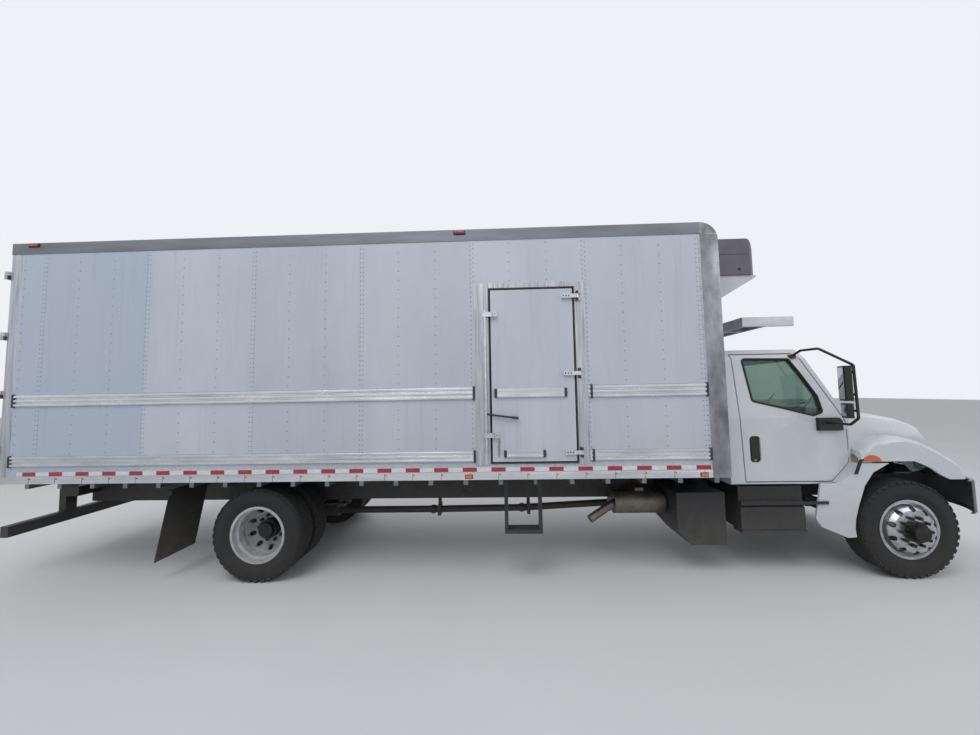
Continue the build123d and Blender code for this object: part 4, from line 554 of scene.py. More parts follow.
def bead(name, radius, outward):
    """A round bead along the edge of a CAD pane, where a face that looks outward meets one that doesn't."""
    thing = merged_copy(name)
    with editing(thing):
        bpy.ops.mesh.select_mode(type="EDGE")
        shape = bmesh.from_edit_mesh(thing.data)
        for edge in shape.edges:
            middle = (edge.verts[0].co + edge.verts[1].co) / 2
            kept = [outward(middle, face.normal) for face in edge.link_faces].count(True) == 1
            edge.select_set(not kept)
        bmesh.update_edit_mesh(thing.data)
        bpy.ops.mesh.delete(type="EDGE")
        bpy.ops.mesh.select_all(action="SELECT")
        bpy.ops.mesh.remove_doubles(threshold=0.004)
    bpy.ops.object.convert(target="CURVE")
    line = bpy.context.active_object
    line.data.bevel_depth = radius
    line.data.bevel_resolution = 2
    line.data.use_fill_caps = True
    bpy.ops.object.convert(target="MESH")
    return smooth(bpy.context.active_object, 60)


WINDOW_CORNERS = tuple(Vector((FRONT_AXLE_X + x, z)) for x, z in (
    (-1.446, 1.868), (-1.069, 1.772), (-0.803, 1.700), (-0.700, 1.733), (-0.735, 1.912), (-0.895, 2.184),
    (-0.996, 2.335), (-1.512, 2.345)))
RIM_REACH = 0.022


def at_window_rim(middle):
    """Whether a point is on the edge of the side window's opening."""
    point = Vector((middle.x, middle.z))
    for start, end in zip(WINDOW_CORNERS, WINDOW_CORNERS[1:] + WINDOW_CORNERS[:1]):
        along = max(0.0, min(1.0, (point - start).dot(end - start) / (end - start).length_squared))
        if (start + (end - start) * along - point).length < RIM_REACH:
            return True
    return False


for side, word in ((1, "left"), (-1, "right")):
    inner = bead("door_glass_" + word, 0.012, lambda middle, normal: normal.y * side > 0.7)
    outer = bead("cab_door_" + word, 0.012,
                 lambda middle, normal: normal.y * side > 0.7 and at_window_rim(middle))
    done(joined([outer, inner]), "window_seal_" + word, word + "_cab_door", seal_rubber)
done(bead("cab_glass", 0.013, lambda middle, normal: middle.x > 3.3 and normal.x > 0.4), "windscreen_seal",
     "chassis", seal_rubber)
done(bead("cab_glass", 0.013, lambda middle, normal: middle.x < 2.85 and normal.x < -0.8),
     "rear_window_seal", "chassis", seal_rubber)


def on_surface(thing, point, proud):
    """The nearest point of a piece to a point, moved out along the surface's normal."""
    place, normal = thing.closest_point_on_mesh(Vector(point))[1:3]
    return place + normal * proud


# Where each wiper's pivot and blade stand across the truck, and a place ahead of the windscreen.
WIPERS_Y = ((-0.12, -0.62), (0.60, 0.10))
AHEAD_X = 4.12
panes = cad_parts["cab_glass"]
bpy.context.view_layer.update()
wipers = []
for pivot_y, blade_y in WIPERS_Y:
    foot = on_surface(cab, (AHEAD_X, pivot_y, 1.70), 0.018)
    elbow = on_surface(panes, (AHEAD_X, (pivot_y + blade_y) / 2 + 0.05, 1.83), 0.032)
    low = on_surface(panes, (AHEAD_X, blade_y + 0.22, 1.79), 0.014)
    high = on_surface(panes, (AHEAD_X, blade_y - 0.12, 2.03), 0.014)
    holder = (low + high) / 2 + Vector((0.012, 0, 0.006))
    wipers += [rod(foot, elbow, 0.007, 8), rod(elbow, holder, 0.005, 8), rod(low, high, 0.007, 8, 0.001),
               rod(foot - Vector((0.01, 0, 0.02)), foot, 0.016, 12, 0.003)]
done(joined(wipers), "windscreen_wipers", "chassis", seal_rubber)

# Each cab door has a black moulded handle in a recess at its rear edge: a dished plate with a pull
# paddle over a shadowed finger space, and a round key barrel under it.
handle_black = surface("satin_black_handle_moulding", "#232426", "#18191a", 40, (0.35, 0.5), grain=(2, 0.1))
key_metal = surface("plated_key_barrel", "#b9bbbd", "#8f9194", 20, (0.2, 0.35), metallic=1.0,
                    grain=(2, 0.05))
# The rim, the dish and the paddle: two corners and the edge's rounding, from the inside out.
HANDLE_LAYERS = (((2.949, 0.9965, 1.193), (3.061, 1.004, 1.477), 0.003),
                 ((2.962, 1.004, 1.235), (3.048, 1.010, 1.440), 0.003),
                 ((2.966, 1.010, 1.250), (3.044, 1.0175, 1.375), 0.0035))
for side, word in ((1, "left"), (-1, "right")):
    across = Vector((1, side, 1))
    layers = [slab(across * Vector(low), across * Vector(high), ease, 3)
              for low, high, ease in HANDLE_LAYERS]
    done(joined(layers), "door_handle_" + word, word + "_cab_door", handle_black)
    barrel = rod((3.005, side * 1.003, 1.215), (3.005, side * 1.012, 1.215), 0.011, 16, 0.0015)
    done(barrel, "door_lock_" + word, word + "_cab_door", key_metal)

# Inside the cab: a moulded dashboard in dark grained polypropylene and a rubber-covered steering wheel.
# The seats are foam under woven cloth on sheet-metal risers, with piping channels along the cushions.


def leaned(thing, middle_z, lean):
    """Pushes the corners above a height forward or back."""
    with editing(thing, "DESELECT"):
        pass
    for corner in thing.data.vertices:
        corner.select = corner.co.z > middle_z
    bpy.ops.object.mode_set(mode="EDIT")
    bpy.ops.transform.translate(value=(lean, 0, 0))
    bpy.ops.object.mode_set(mode="OBJECT")
    return thing


dash_grain = surface("grained_dark_plastic", "#303236", "#232427", 60, (0.55, 0.7), grain=(2, 0.3))
cloth = surface("woven_seat_cloth", "#43474f", "#2d3036", 20, (0.85, 0.95), grain=(3, 0.6),
                settings={"Sheen Weight": 0.3})
smooth_copy("dashboard", "chassis", dash_grain, 35, 0.004)
SEAT_X = 2.951
DRIVER_SEAT_Y = 0.480
SEAT_WIDTH = 0.480
BENCH_Y = -0.430
BENCH_WIDTH = 0.700
PAD_HALF = 0.228
BACKREST_LEAN = -0.125
SWELL_CAP = 0.014
CHANNEL_DEPTH = 0.007
CHANNEL_HALF = 0.008


def stuffed(low, high, lean=0.0):
    """A foam block under cloth: swollen by pressure, with its swelling capped, then given sewn channels."""
    thing = slab(low, high, 0.035, 3)
    if lean:
        leaned(thing, (low[2] + high[2]) / 2, lean)
    thing.data.remesh_voxel_size = 0.010
    pick(thing)
    bpy.ops.object.voxel_remesh()
    start = [corner.co.copy() for corner in thing.data.vertices]
    pressed = thing.modifiers.new("foam", "CLOTH")
    pressed.settings.use_pressure = True
    pressed.settings.uniform_pressure_force = 4
    pressed.settings.effector_weights.gravity = 0
    for step in range(1, 21):
        bpy.context.scene.frame_set(step)
    apply_all(thing)
    bpy.context.scene.frame_set(1)
    for corner, home in zip(thing.data.vertices, start):
        moved = corner.co - home
        if moved.length > SWELL_CAP:
            corner.co = home + moved * (SWELL_CAP / moved.length)
    finer = thing.modifiers.new("finer", "SUBSURF")
    finer.levels = 1
    finer.render_levels = 1
    apply_all(thing)
    half = (high[1] - low[1]) / 2
    inward = [-corner.normal for corner in thing.data.vertices]
    for corner, way in zip(thing.data.vertices, inward):
        off = abs(abs(corner.co.y - DRIVER_SEAT_Y) - half * 0.55)
        corner.co = corner.co + way * (CHANNEL_DEPTH * math.exp(-(off / CHANNEL_HALF) ** 2))
    return smooth(thing, 60)


cushion = stuffed((SEAT_X + 0.075, DRIVER_SEAT_Y - PAD_HALF, 1.345),
                  (SEAT_X + 0.545, DRIVER_SEAT_Y + PAD_HALF, 1.437))
backrest = stuffed((SEAT_X + 0.040, DRIVER_SEAT_Y - PAD_HALF, 1.430),
                   (SEAT_X + 0.120, DRIVER_SEAT_Y + PAD_HALF, 2.045), BACKREST_LEAN)
for kind, thing in (("cushion", cushion), ("backrest", backrest)):
    bench = again(thing, (0, -DRIVER_SEAT_Y, 0))
    bench.scale = (1, BENCH_WIDTH / SEAT_WIDTH, 1)
    bench.location = (0, BENCH_Y, 0)
    settle(bench)
    for piece, place in ((thing, "driver_"), (bench, "passenger_")):
        done(piece, place + kind, "chassis", cloth)
        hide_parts("seats")
risers = []
for middle, width in ((DRIVER_SEAT_Y, SEAT_WIDTH), (BENCH_Y, BENCH_WIDTH)):
    half = width / 2 - 0.06
    tray = half + 0.03
    risers += [slab((SEAT_X + 0.10, middle - half, 1.011), (SEAT_X + 0.48, middle + half, 1.28), 0.01),
               slab((SEAT_X + 0.08, middle - tray, 1.28), (SEAT_X + 0.52, middle + tray, 1.336), 0.008)]
riser = done(joined(risers), "seat_risers", "chassis", dash_grain)
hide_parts("seats")

# The hood and fenders are one moulding of glass-fibre plastic in the cab's white, tipping forward on
# two hinges. Rubber straps hold its rear corners down, each in two slanting lengths.
STRAP_LENGTHS = ((3.974, 1.075, 4.022, 1.195), (4.022, 1.195, 4.046, 1.232))
STRAP_Y = 1.1205
smooth_copy("hood", "hood_body", cab_white, 32, 0.002)
straps = []
for side in (1, -1):
    for x0, z0, x1, z1 in STRAP_LENGTHS:
        strap = slab((x0 - 0.018, side * STRAP_Y - 0.0045, z0),
                     (x0 + 0.018, side * STRAP_Y + 0.0045, z1), 0.002)
        straps.append(leaned(strap, (z0 + z1) / 2, x1 - x0))
done(joined(straps), "hood_straps", "hood_body", seal_rubber)

# The grille is a moulding of silver-grey plastic with level bars; behind it stands the radiator, a
# core of thin black fins between two tanks.
grille_grey = surface("moulded_grille_plastic", "#9ea1a5", "#85888c", 80, (0.35, 0.5), grain=(3, 0.1))
fin_black = surface("black_radiator_fins", "#242527", "#101112", 30, (0.5, 0.7), metallic=0.4,
                    grain=(3, 0.8), streak=(1, 3, 0.2))
smooth_copy("grille", "hood_body", grille_grey, 30, 0.002)
core = [slab((5.101, -0.33, 0.80), (5.165, 0.33, 1.26), 0.006)]
for tank_z in (1.24, 0.76):
    core.append(slab((5.095, -0.35, tank_z), (5.181, 0.35, tank_z + 0.06), 0.02, 3))
done(joined(core), "radiator", "chassis", fin_black)

# Headlamps are clear polycarbonate over a plated reflector, fluted to spread the light, with two round bowls
# a side, each ringed by a dark rim and painted darker towards its middle, a painted shade. Each fender
# carries an amber marker lamp low at its rear.
LENS_COAT = {"Coat Weight": 1.0, "Coat Roughness": 0.04}
reflector = surface("plated_reflector_under_clear_lens", "#c9ced3", "#a2a8af", 25, (0.08, 0.25),
                    metallic=0.9, grain=(9, 2.0), streak=(1, 1, 0.05),
                    settings={"Coat Weight": 1.0, "Coat Roughness": 0.02})
amber = surface("amber_lens_plastic", "#d86a1c", "#b94f12", 25, (0.12, 0.25), grain=(7, 1.0),
                settings=LENS_COAT)
BOWLS_Y = (0.800, 0.955)
BOWL_Z = 1.120
BOWL_RADIUS = 0.064
SIDE_LAMP_END_X = 4.3
tree = reflector.node_tree
place = node(tree, "TexCoord", out="Object")
out_y = node(tree, "Math", {"operation": "ABSOLUTE", 0: node(tree, "SeparateXYZ", {"Vector": place}, "Y")})
height = node(tree, "SeparateXYZ", {"Vector": place}, "Z")
front_on = node(tree, "CombineXYZ", {"Y": out_y, "Z": height})
far = [node(tree, "VectorMath", {"operation": "DISTANCE", 0: front_on, 1: (0, y, BOWL_Z)}, "Value")
       for y in BOWLS_Y]
near = node(tree, "Math", {"operation": "MINIMUM", 0: far[0], 1: far[1]})
# Painted shade: each bowl is painted darker towards its middle, standing for its depth.
depth = node(tree, "MapRange", {"From Min": 0.012, "From Max": 0.055, "To Min": 0.65, "To Max": 0.0,
                                "Value": near})
rim = node(tree, "Math", {"operation": "COMPARE", 0: near, 1: BOWL_RADIUS, 2: 0.004})
shade = node(tree, "Math", {"operation": "ADD", "use_clamp": True, 0: depth, 1: rim})
overlaid(reflector, shade, "#2b2e32")
lamps = smooth_copy("headlamps", "hood_body", reflector, 30, 0.004)
second_finish(lamps, amber, lambda middle, normal: middle.x < SIDE_LAMP_END_X)

# Door mirrors: black grained housings on a black tube, two heads a side, each with silvered glass
# facing rearward in a narrow rim.
mirror_black = surface("black_mirror_plastic", "#1e1f21", "#131415", 80, (0.35, 0.55), grain=(2, 0.2))
silvered = surface("silvered_mirror_glass", "#9fa8ae", "#949da3", 300, (0.02, 0.05), metallic=1.0,
                   grain=(200, 0.1))
# Each head's middle height, width, depth and half height.
MIRROR_HEADS = ((2.045, 0.190, 0.070, 0.180), (1.765, 0.170, 0.060, 0.075))
MIRROR_X = FRONT_AXLE_X - 0.700
MIRROR_Y = 1.320
MIRROR_TURN = math.radians(25)
for side, word in ((1, "left"), (-1, "right")):
    smooth_copy("mirror_" + word, word + "_cab_door", mirror_black, 40, 0.002)
    glasses = []
    for z, width, depth, half in MIRROR_HEADS:
        glass = slab((-depth / 2 - 0.003, -width / 2 + 0.022, z - half + 0.016),
                     (-depth / 2 + 0.003, width / 2 - 0.022, z + half - 0.016), 0.002)
        glass.rotation_euler = (0, 0, side * MIRROR_TURN)
        glass.location = (MIRROR_X, side * MIRROR_Y, 0)
        glasses.append(settle(glass))
    done(joined(glasses), "mirror_glass_" + word, word + "_cab_door", silvered)

# Box walls: prepainted aluminium sheet over foam, in lapped panels 1.22 m wide riveted to the posts.
# Each sheet has its own slight tone and rain streaks; the last one at the rear is painted bluer, a painted
# reflection of the sky.
SEAM_START_X = -4.979
SEAM_PITCH = 1.22
SKY_TINTED_PANEL_END_X = SEAM_START_X + SEAM_PITCH
panel_white = surface("prepainted_sheet", "#c5cbd5", "#b8bfca", 700, (0.32, 0.46), grain=(260, 0.9),
                      dust=("#9a948a", 1.7, 0.3), streak=(1, 1, 0.35))
tree = panel_white.node_tree
place = node(tree, "TexCoord", out="Object")
along = node(tree, "SeparateXYZ", {"Vector": place}, "X")
from_seam = node(tree, "Math", {"operation": "SUBTRACT", 0: along, 1: SEAM_START_X})
sheets = node(tree, "Math", {"operation": "DIVIDE", 0: from_seam, 1: SEAM_PITCH})
sheet = node(tree, "Math", {"operation": "FLOOR", 0: sheets})
sheet_tone = node(tree, "TexWhiteNoise", {"noise_dimensions": "1D", "W": sheet}, "Value")
drawn = node(tree, "Mapping", {"Scale": (14, 14, 0.5), "Vector": place})
rain = node(tree, "TexNoise", {"Scale": 1.0, "Detail": 4.0, "Roughness": 0.65, "Vector": drawn})
streaks = node(tree, "MapRange", {"From Min": 0.56, "From Max": 0.74, "To Max": 0.16, "Value": rain})
darkness = node(tree, "Math", {"operation": "MULTIPLY_ADD", 0: sheet_tone, 1: 0.10, 2: streaks})
# Painted reflection: the rearmost sheet is tinted blue for the sky it reflects.
in_sky_tinted_panel = node(tree, "Math", {"operation": "LESS_THAN", 0: along, 1: SKY_TINTED_PANEL_END_X})
painted_sky_reflection = node(tree, "Math", {"operation": "MULTIPLY", 0: in_sky_tinted_panel, 1: 0.75})
overlaid(panel_white, painted_sky_reflection, "#aebbcc")
overlaid(panel_white, darkness, "#757c86")
roof_sheet = surface("plain_roof_sheet", "#c9cbce", "#b5b7bb", 400, (0.35, 0.5), metallic=0.5,
                     grain=(200, 1.0))
floor_metal = surface("ribbed_floor_extrusion", "#9a9b9d", "#7c7d80", 120, (0.35, 0.55), metallic=0.8,
                      grain=(5, 0.1), dust=(DUST, 1.2, 0.4))
dress(panel_white, "box_wall_left", "box_wall_right", "box_wall_front")
dress(roof_sheet, "box_roof")
smooth_copy("box_floor", "chassis", floor_metal, 30, 0.002)

# Rivets hold the sheets: one column to every post, a double one at each seam where a thin strip covers the
# lap, and close rows along the rails. Their heads are painted darker than the wall, a painted shade, so they
# read dark.
rivet_painted_shade = surface("rivet_heads_with_painted_shade", "#858a92", "#6a6f77", 40, (0.4, 0.6), grain=(3, 0.1))
WALL_Y = 1.295
POST_PITCH = SEAM_PITCH / 3
POSTS = 19
SEAMS = 7
UPPER_RIVETS_Z = (2.125, 3.66)
LOWER_RIVETS_Z = (1.425, 1.920)
OVER_DOOR_RIVETS_Z = (3.235, UPPER_RIVETS_Z[1])
END_COLUMNS_X = (-5.228, 2.362)
DOORWAY_X = (-0.10, 1.13)
LAPS_Z = ((1.402, 1.938), (2.082, 3.689))
OVER_DOOR_LAP_Z = 3.202
LAP_HALF = 0.026
RIVET_RADIUS = 0.0064
SEAM_RIVET_PITCH = 0.052
POST_RIVET_PITCH = 0.104
SMALL_RIVET_RADIUS = 0.0045
# The level rows of small rivets: each one's start, height, reach, pitch and how far out it is.
LEVEL_ROWS = ((-5.35, 3.712, 7.69, 0.0508, WALL_Y + 0.006), (-5.24, 1.238, 7.58, 0.1016, WALL_Y))
UP, ALONG = Vector((0, 0, 1)), Vector((1, 0, 0))


def rivets(x, z, way, reach, pitch, y=WALL_Y, radius=RIVET_RADIUS):
    """A straight row of rivet heads on the right side wall, from its first rivet one way."""
    head = rod((x, -y + 0.0005, z), (x, -y - 0.0026, z), radius, 8)
    smooth(eased(head, 0.0016, 1), 60)
    return repeated(head, (way * pitch, int(reach / pitch) + 1))


def riveted(has_door):
    """The rivets of a whole side, made on the right. A side with the door has none in its doorway."""
    rows = []
    for post in range(POSTS):
        x = SEAM_START_X + post * POST_PITCH
        is_seam = post % 3 == 0
        pitch = SEAM_RIVET_PITCH if is_seam else POST_RIVET_PITCH
        for column in ((x - 0.016, x + 0.016) if is_seam else (x,)):
            in_door = has_door and DOORWAY_X[0] < column < DOORWAY_X[1]
            for low, high in ((OVER_DOOR_RIVETS_Z,) if in_door else (LOWER_RIVETS_Z, UPPER_RIVETS_Z)):
                rows.append(rivets(column, low, UP, high - low, pitch))
    for x in END_COLUMNS_X:
        low, high = LOWER_RIVETS_Z[0], UPPER_RIVETS_Z[1]
        rows.append(rivets(x, low, UP, high - low, POST_RIVET_PITCH))
    for x, z, reach, pitch, y in LEVEL_ROWS:
        rows.append(rivets(x, z, ALONG, reach, pitch, y, SMALL_RIVET_RADIUS))
    return joined(rows)


done(riveted(True), "rivets_right", "chassis", rivet_painted_shade)
plain_side = riveted(False)
done(mirrored(plain_side), "rivets_left", "chassis", rivet_painted_shade)
bpy.data.objects.remove(plain_side)
laps = []
for seam in range(SEAMS):
    x = SEAM_START_X + seam * SEAM_PITCH
    for bottom, top in LAPS_Z:
        for side in (1, -1):
            in_door = side < 0 and DOORWAY_X[0] < x < DOORWAY_X[1]
            low = max(bottom, OVER_DOOR_LAP_Z) if in_door else bottom
            if top > low:
                laps.append(slab((x - LAP_HALF, side * WALL_Y - 0.0011, low),
                                 (x + LAP_HALF, side * WALL_Y + 0.0011, top), 0.0006, 1))
done(joined(laps), "panel_laps", "chassis", panel_white)

# Rails, corner posts and door frames are aluminium extrusions, polished along their length, duller on the top
# rail and like a mirror on the nose posts. The top rail is painted a darker grey, a painted shade, and the
# nose posts are painted darker in large light and dark patches, a painted shade with painted reflections.
# Cast end caps close the scuff rails, and dark joints with a bolt divide the sill rail every 305 mm.
polished = surface("polished_extrusion", "#e3e5e9", "#c3c6cb", 90, (0.12, 0.32), metallic=0.85,
                   grain=(3, 0.04), streak=(0.15, 1, 1))
cast_grey = surface("dark_cast_end_cap", "#4b4e55", "#34363c", 40, (0.45, 0.65), metallic=0.5,
                    grain=(3, 0.3))
joint_black = surface("dark_joint_sealant", "#35363a", "#232427", 30, (0.6, 0.8), grain=(3, 0.2))
post_metal = surface("upright_polished_extrusion", "#d0d3d8", "#989ca3", 60, (0.24, 0.42), metallic=0.85,
                     grain=(3, 0.04), streak=(3, 3, 0.12))
top_rail_painted_shade = surface("top_rail_with_painted_shade", "#868a91", "#6c7077", 120, (0.4, 0.55), metallic=0.5,
                     grain=(3, 0.05), streak=(0.15, 1, 1))
nose_painted_shade_and_reflections = surface("nose_post_with_painted_shade_and_reflections", "#b6b9be", "#5f6268", 260, (0.1, 0.3), metallic=0.9,
                     grain=(3, 0.03), streak=(1, 1, 0.5))
NOSE_POST_X = 2.377
SILL_TOP_Z = 1.172
TOP_RAIL_Z = 3.680
SCUFF_RAILS_Z = ((1.280, 1.400), (1.940, 2.080))
# The ends of the scuff rails on either side; the side door interrupts those on the right.
SCUFF_ENDS = ((-1, (-5.261, -0.106, 1.145, 2.352)), (1, (-5.261, 2.352)))
TRIM_Y = 1.3065
SILL_FACE_Y = -1.301
SILL_JOINT_X = -5.024
SILL_BOLT_X = -5.010
SILL_JOINT_PITCH = 0.3048
SILL_JOINTS = 25
trim = smooth_copy("box_trim", "chassis", polished, 30, 0.0015)
for point, way in (((NOSE_POST_X, 0, 0), (1, 0, 0)), ((0, 0, TOP_RAIL_Z), (0, 0, 1))):
    with editing(trim):
        bpy.ops.mesh.bisect(plane_co=point, plane_no=way)
# Painted shade and reflections: the nose posts take the darker, patchy finish.
second_finish(trim, nose_painted_shade_and_reflections, lambda middle, normal: middle.x > NOSE_POST_X and middle.z > SILL_TOP_Z)
# Painted shade: the top rail takes the darker grey.
second_finish(trim, top_rail_painted_shade, lambda middle, normal: middle.x < NOSE_POST_X and middle.z > TOP_RAIL_Z)
smooth_copy("rear_frame", "chassis", post_metal, 30, 0.002)
smooth_copy("side_door_frame", "chassis", post_metal, 30, 0.0015)
caps = []
for low, high in SCUFF_RAILS_Z:
    for side, ends in SCUFF_ENDS:
        for x in ends:
            caps.append(slab((x - 0.001, side * TRIM_Y - 0.0125, low - 0.004),
                             (x + 0.026, side * TRIM_Y + 0.0125, high + 0.004), 0.005, 3))
done(joined(caps), "scuff_rail_caps", "chassis", cast_grey)
line = slab((SILL_JOINT_X - 0.002, SILL_FACE_Y - 0.0008, 1.098),
            (SILL_JOINT_X + 0.002, SILL_FACE_Y + 0.0008, 1.168), 0.0004, 1)
dot = rod((SILL_BOLT_X, SILL_FACE_Y + 0.0005, 1.148), (SILL_BOLT_X, SILL_FACE_Y - 0.0035, 1.148), 0.0065, 8,
          0.0012)
for mark in (line, dot):
    repeated(mark, ((SILL_JOINT_PITCH, 0, 0), SILL_JOINTS))
done(on_both_sides(joined([line, dot])), "sill_joints", "chassis", joint_black)

# Reflective tape along both sides: a white strip with a red piece every 305 mm, moulded in a small
# honeycomb of prisms that gives the face a fine glitter.
tape_white = surface("white_prismatic_tape", "#e4e6e8", "#cfd2d5", 30, (0.25, 0.4), grain=(5, 0.3),
                     dust=("#9a948a", 1.6, 0.3))
tape_red = surface("red_prismatic_tape", "#b5303a", "#992631", 30, (0.25, 0.4), grain=(5, 0.3),
                   dust=("#8a7a70", 1.6, 0.2))
TAPE_X = (-5.17, 2.372)
RED_TAPE_X = (-5.102, -4.950)
TAPE_Z = (1.180, 1.222)
white_strip = slab((TAPE_X[0], -WALL_Y - 0.0018, TAPE_Z[0]), (TAPE_X[1], -WALL_Y + 0.0005, TAPE_Z[1]),
                   0.0004, 1)
done(on_both_sides(white_strip), "tape_white", "chassis", tape_white)
red_piece = slab((RED_TAPE_X[0], -WALL_Y - 0.0024, TAPE_Z[0]), (RED_TAPE_X[1], -WALL_Y + 0.0004, TAPE_Z[1]),
                 0.0004, 1)
repeated(red_piece, ((SILL_JOINT_PITCH, 0, 0), SILL_JOINTS))
done(on_both_sides(red_piece), "tape_red", "chassis", tape_red)

# The side door: a foam-filled leaf in the wall's sheet, closed on a black rubber gasket, hung on three
# strap hinges and held by a lock rod with two keepers and a lever. Short scuff rails cross it.
gasket_rubber = surface("black_gasket_rubber", "#37383c", "#27282b", 60, (0.55, 0.8), grain=(4, 0.2))
zinc = surface("zinc_plated_steel", "#b9bbbd", "#8f9194", 25, (0.3, 0.5), metallic=0.9, grain=(3, 0.1))
DOOR_FACE_Y = -1.305
GASKET_XZ = ((0.0745, 1.2585), (1.0075, 3.1485))
GASKET_WIDTHS = (0.011, 0.011, 0.011)
HINGE_FACE_Y = -1.3345
HINGES_Z = (1.375, 2.205, 3.038)
HINGE_BOLTS_X = (0.885, 0.915, 0.945)
HINGE_PIN_XY = (1.036, -1.329)
KEEPER_FACE_Y = -1.3465
KEEPERS_Z = (1.565, 2.854)
KEEPER_BOLTS_XZ = ((0.120, 0.012), (0.120, -0.012), (0.148, 0.0))
# Each scuff rail's bottom, top and two ends.
DOOR_SCUFF_RAILS = ((1.328, 1.402, 0.218, 0.658), (1.958, 2.052, 0.128, 0.898))
SCUFF_RIB_Y = (-1.3285, -1.3215)
SCUFF_CAP_Y = (-1.3255, -1.3045)
LEVER_X = (0.05, 0.40)
LEVER_Z = (1.72, 1.80)
GRIP_ENDS = ((0.300, -1.3374, 1.749), (0.378, -1.3393, 1.7385))
CHAIN_LINKS = 9
CHAIN_TOP = Vector((0.166, -1.311, 1.505))
LINK_PITCH = 0.0195


def frame_strips(low, high, near, far, level):
    """The corners of four strips round an opening: its near and far upright, then the top and the bottom."""
    (x0, z0), (x1, z1) = low, high
    return (((x0, z0), (x0 + near, z1)), ((x1 - far, z0), (x1, z1)), ((x0, z1 - level), (x1, z1)),
            ((x0, z0), (x1, z0 + level)))


def on_lever(middle, normal):
    """Whether a point of the side door is on the lever."""
    return (middle.y < DOOR_FACE_Y - 0.01 and LEVER_Z[0] < middle.z < LEVER_Z[1]
            and LEVER_X[0] < middle.x < LEVER_X[1])


side_leaf = smooth_copy("side_door", "load_side_door", panel_white, 30, 0.0015)
second_finish(side_leaf, polished, lambda middle, normal: middle.y < DOOR_FACE_Y - 0.0015)
second_finish(side_leaf, joint_black, on_lever)
gasket = []
for (x0, z0), (x1, z1) in frame_strips(*GASKET_XZ, *GASKET_WIDTHS):
    gasket.append(slab((x0, DOOR_FACE_Y - 0.005, z0), (x1, DOOR_FACE_Y + 0.001, z1), 0.0018))
done(joined(gasket), "side_door_gasket", "chassis", gasket_rubber)
bolts, bushes, ribs, ends, chain = [], [], [], [], []
for z in HINGES_Z:
    for x in HINGE_BOLTS_X:
        bolts.append(rod((x, HINGE_FACE_Y, z), (x, HINGE_FACE_Y - 0.0055, z), 0.0085, 6, 0.0012))
    for foot in (z + 0.0225, z - 0.0535):
        bushes.append(rod((*HINGE_PIN_XY, foot), (*HINGE_PIN_XY, foot + 0.031), 0.0145, 16, 0.002))
for z in KEEPERS_Z:
    for x, up in KEEPER_BOLTS_XZ:
        bolts.append(rod((x, KEEPER_FACE_Y, z + up), (x, KEEPER_FACE_Y - 0.0045, z + up), 0.007, 6, 0.001))
done(joined(bolts), "side_door_bolts", "load_side_door", joint_black)
done(joined(bushes), "side_hinge_bushes", "chassis", joint_black)
for z0, z1, x0, x1 in DOOR_SCUFF_RAILS:
    third = (z1 - z0) / 3
    for level in (z0 + 0.55 * third, z0 + 2.45 * third):
        ribs.append(slab((x0 + 0.028, SCUFF_RIB_Y[0], level - 0.42 * third),
                         (x1 - 0.028, SCUFF_RIB_Y[1], level + 0.42 * third), 0.0045, 3))
    for low_x, high_x in ((x0 - 0.001, x0 + 0.031), (x1 - 0.031, x1 + 0.001)):
        ends.append(slab((low_x, SCUFF_CAP_Y[0], z0), (high_x, SCUFF_CAP_Y[1], z1), 0.005, 3))
done(joined(ribs), "side_door_scuff_ribs", "load_side_door", polished)
done(joined(ends), "side_door_scuff_caps", "load_side_door", cast_grey)
grip = rod(*GRIP_ENDS, 0.014, 16, 0.005)
done(grip, "side_door_grip", "load_side_door", gasket_rubber)
for index in range(CHAIN_LINKS):
    clear_selection()
    hang = CHAIN_TOP + Vector((0.003 * math.sin(index * 1.3), 0, -index * LINK_PITCH))
    twist = (math.pi / 2, (math.pi / 2) * (index % 2) * 0.55, 0)
    bpy.ops.mesh.primitive_torus_add(major_radius=0.010, minor_radius=0.0028, major_segments=14,
                                     minor_segments=6, location=hang, rotation=twist)
    link = bpy.context.active_object
    link.scale = (0.8, 1.25, 1.0)
    chain.append(settle(link))
done(smooth(joined(chain)), "side_door_chain", "load_side_door", zinc)

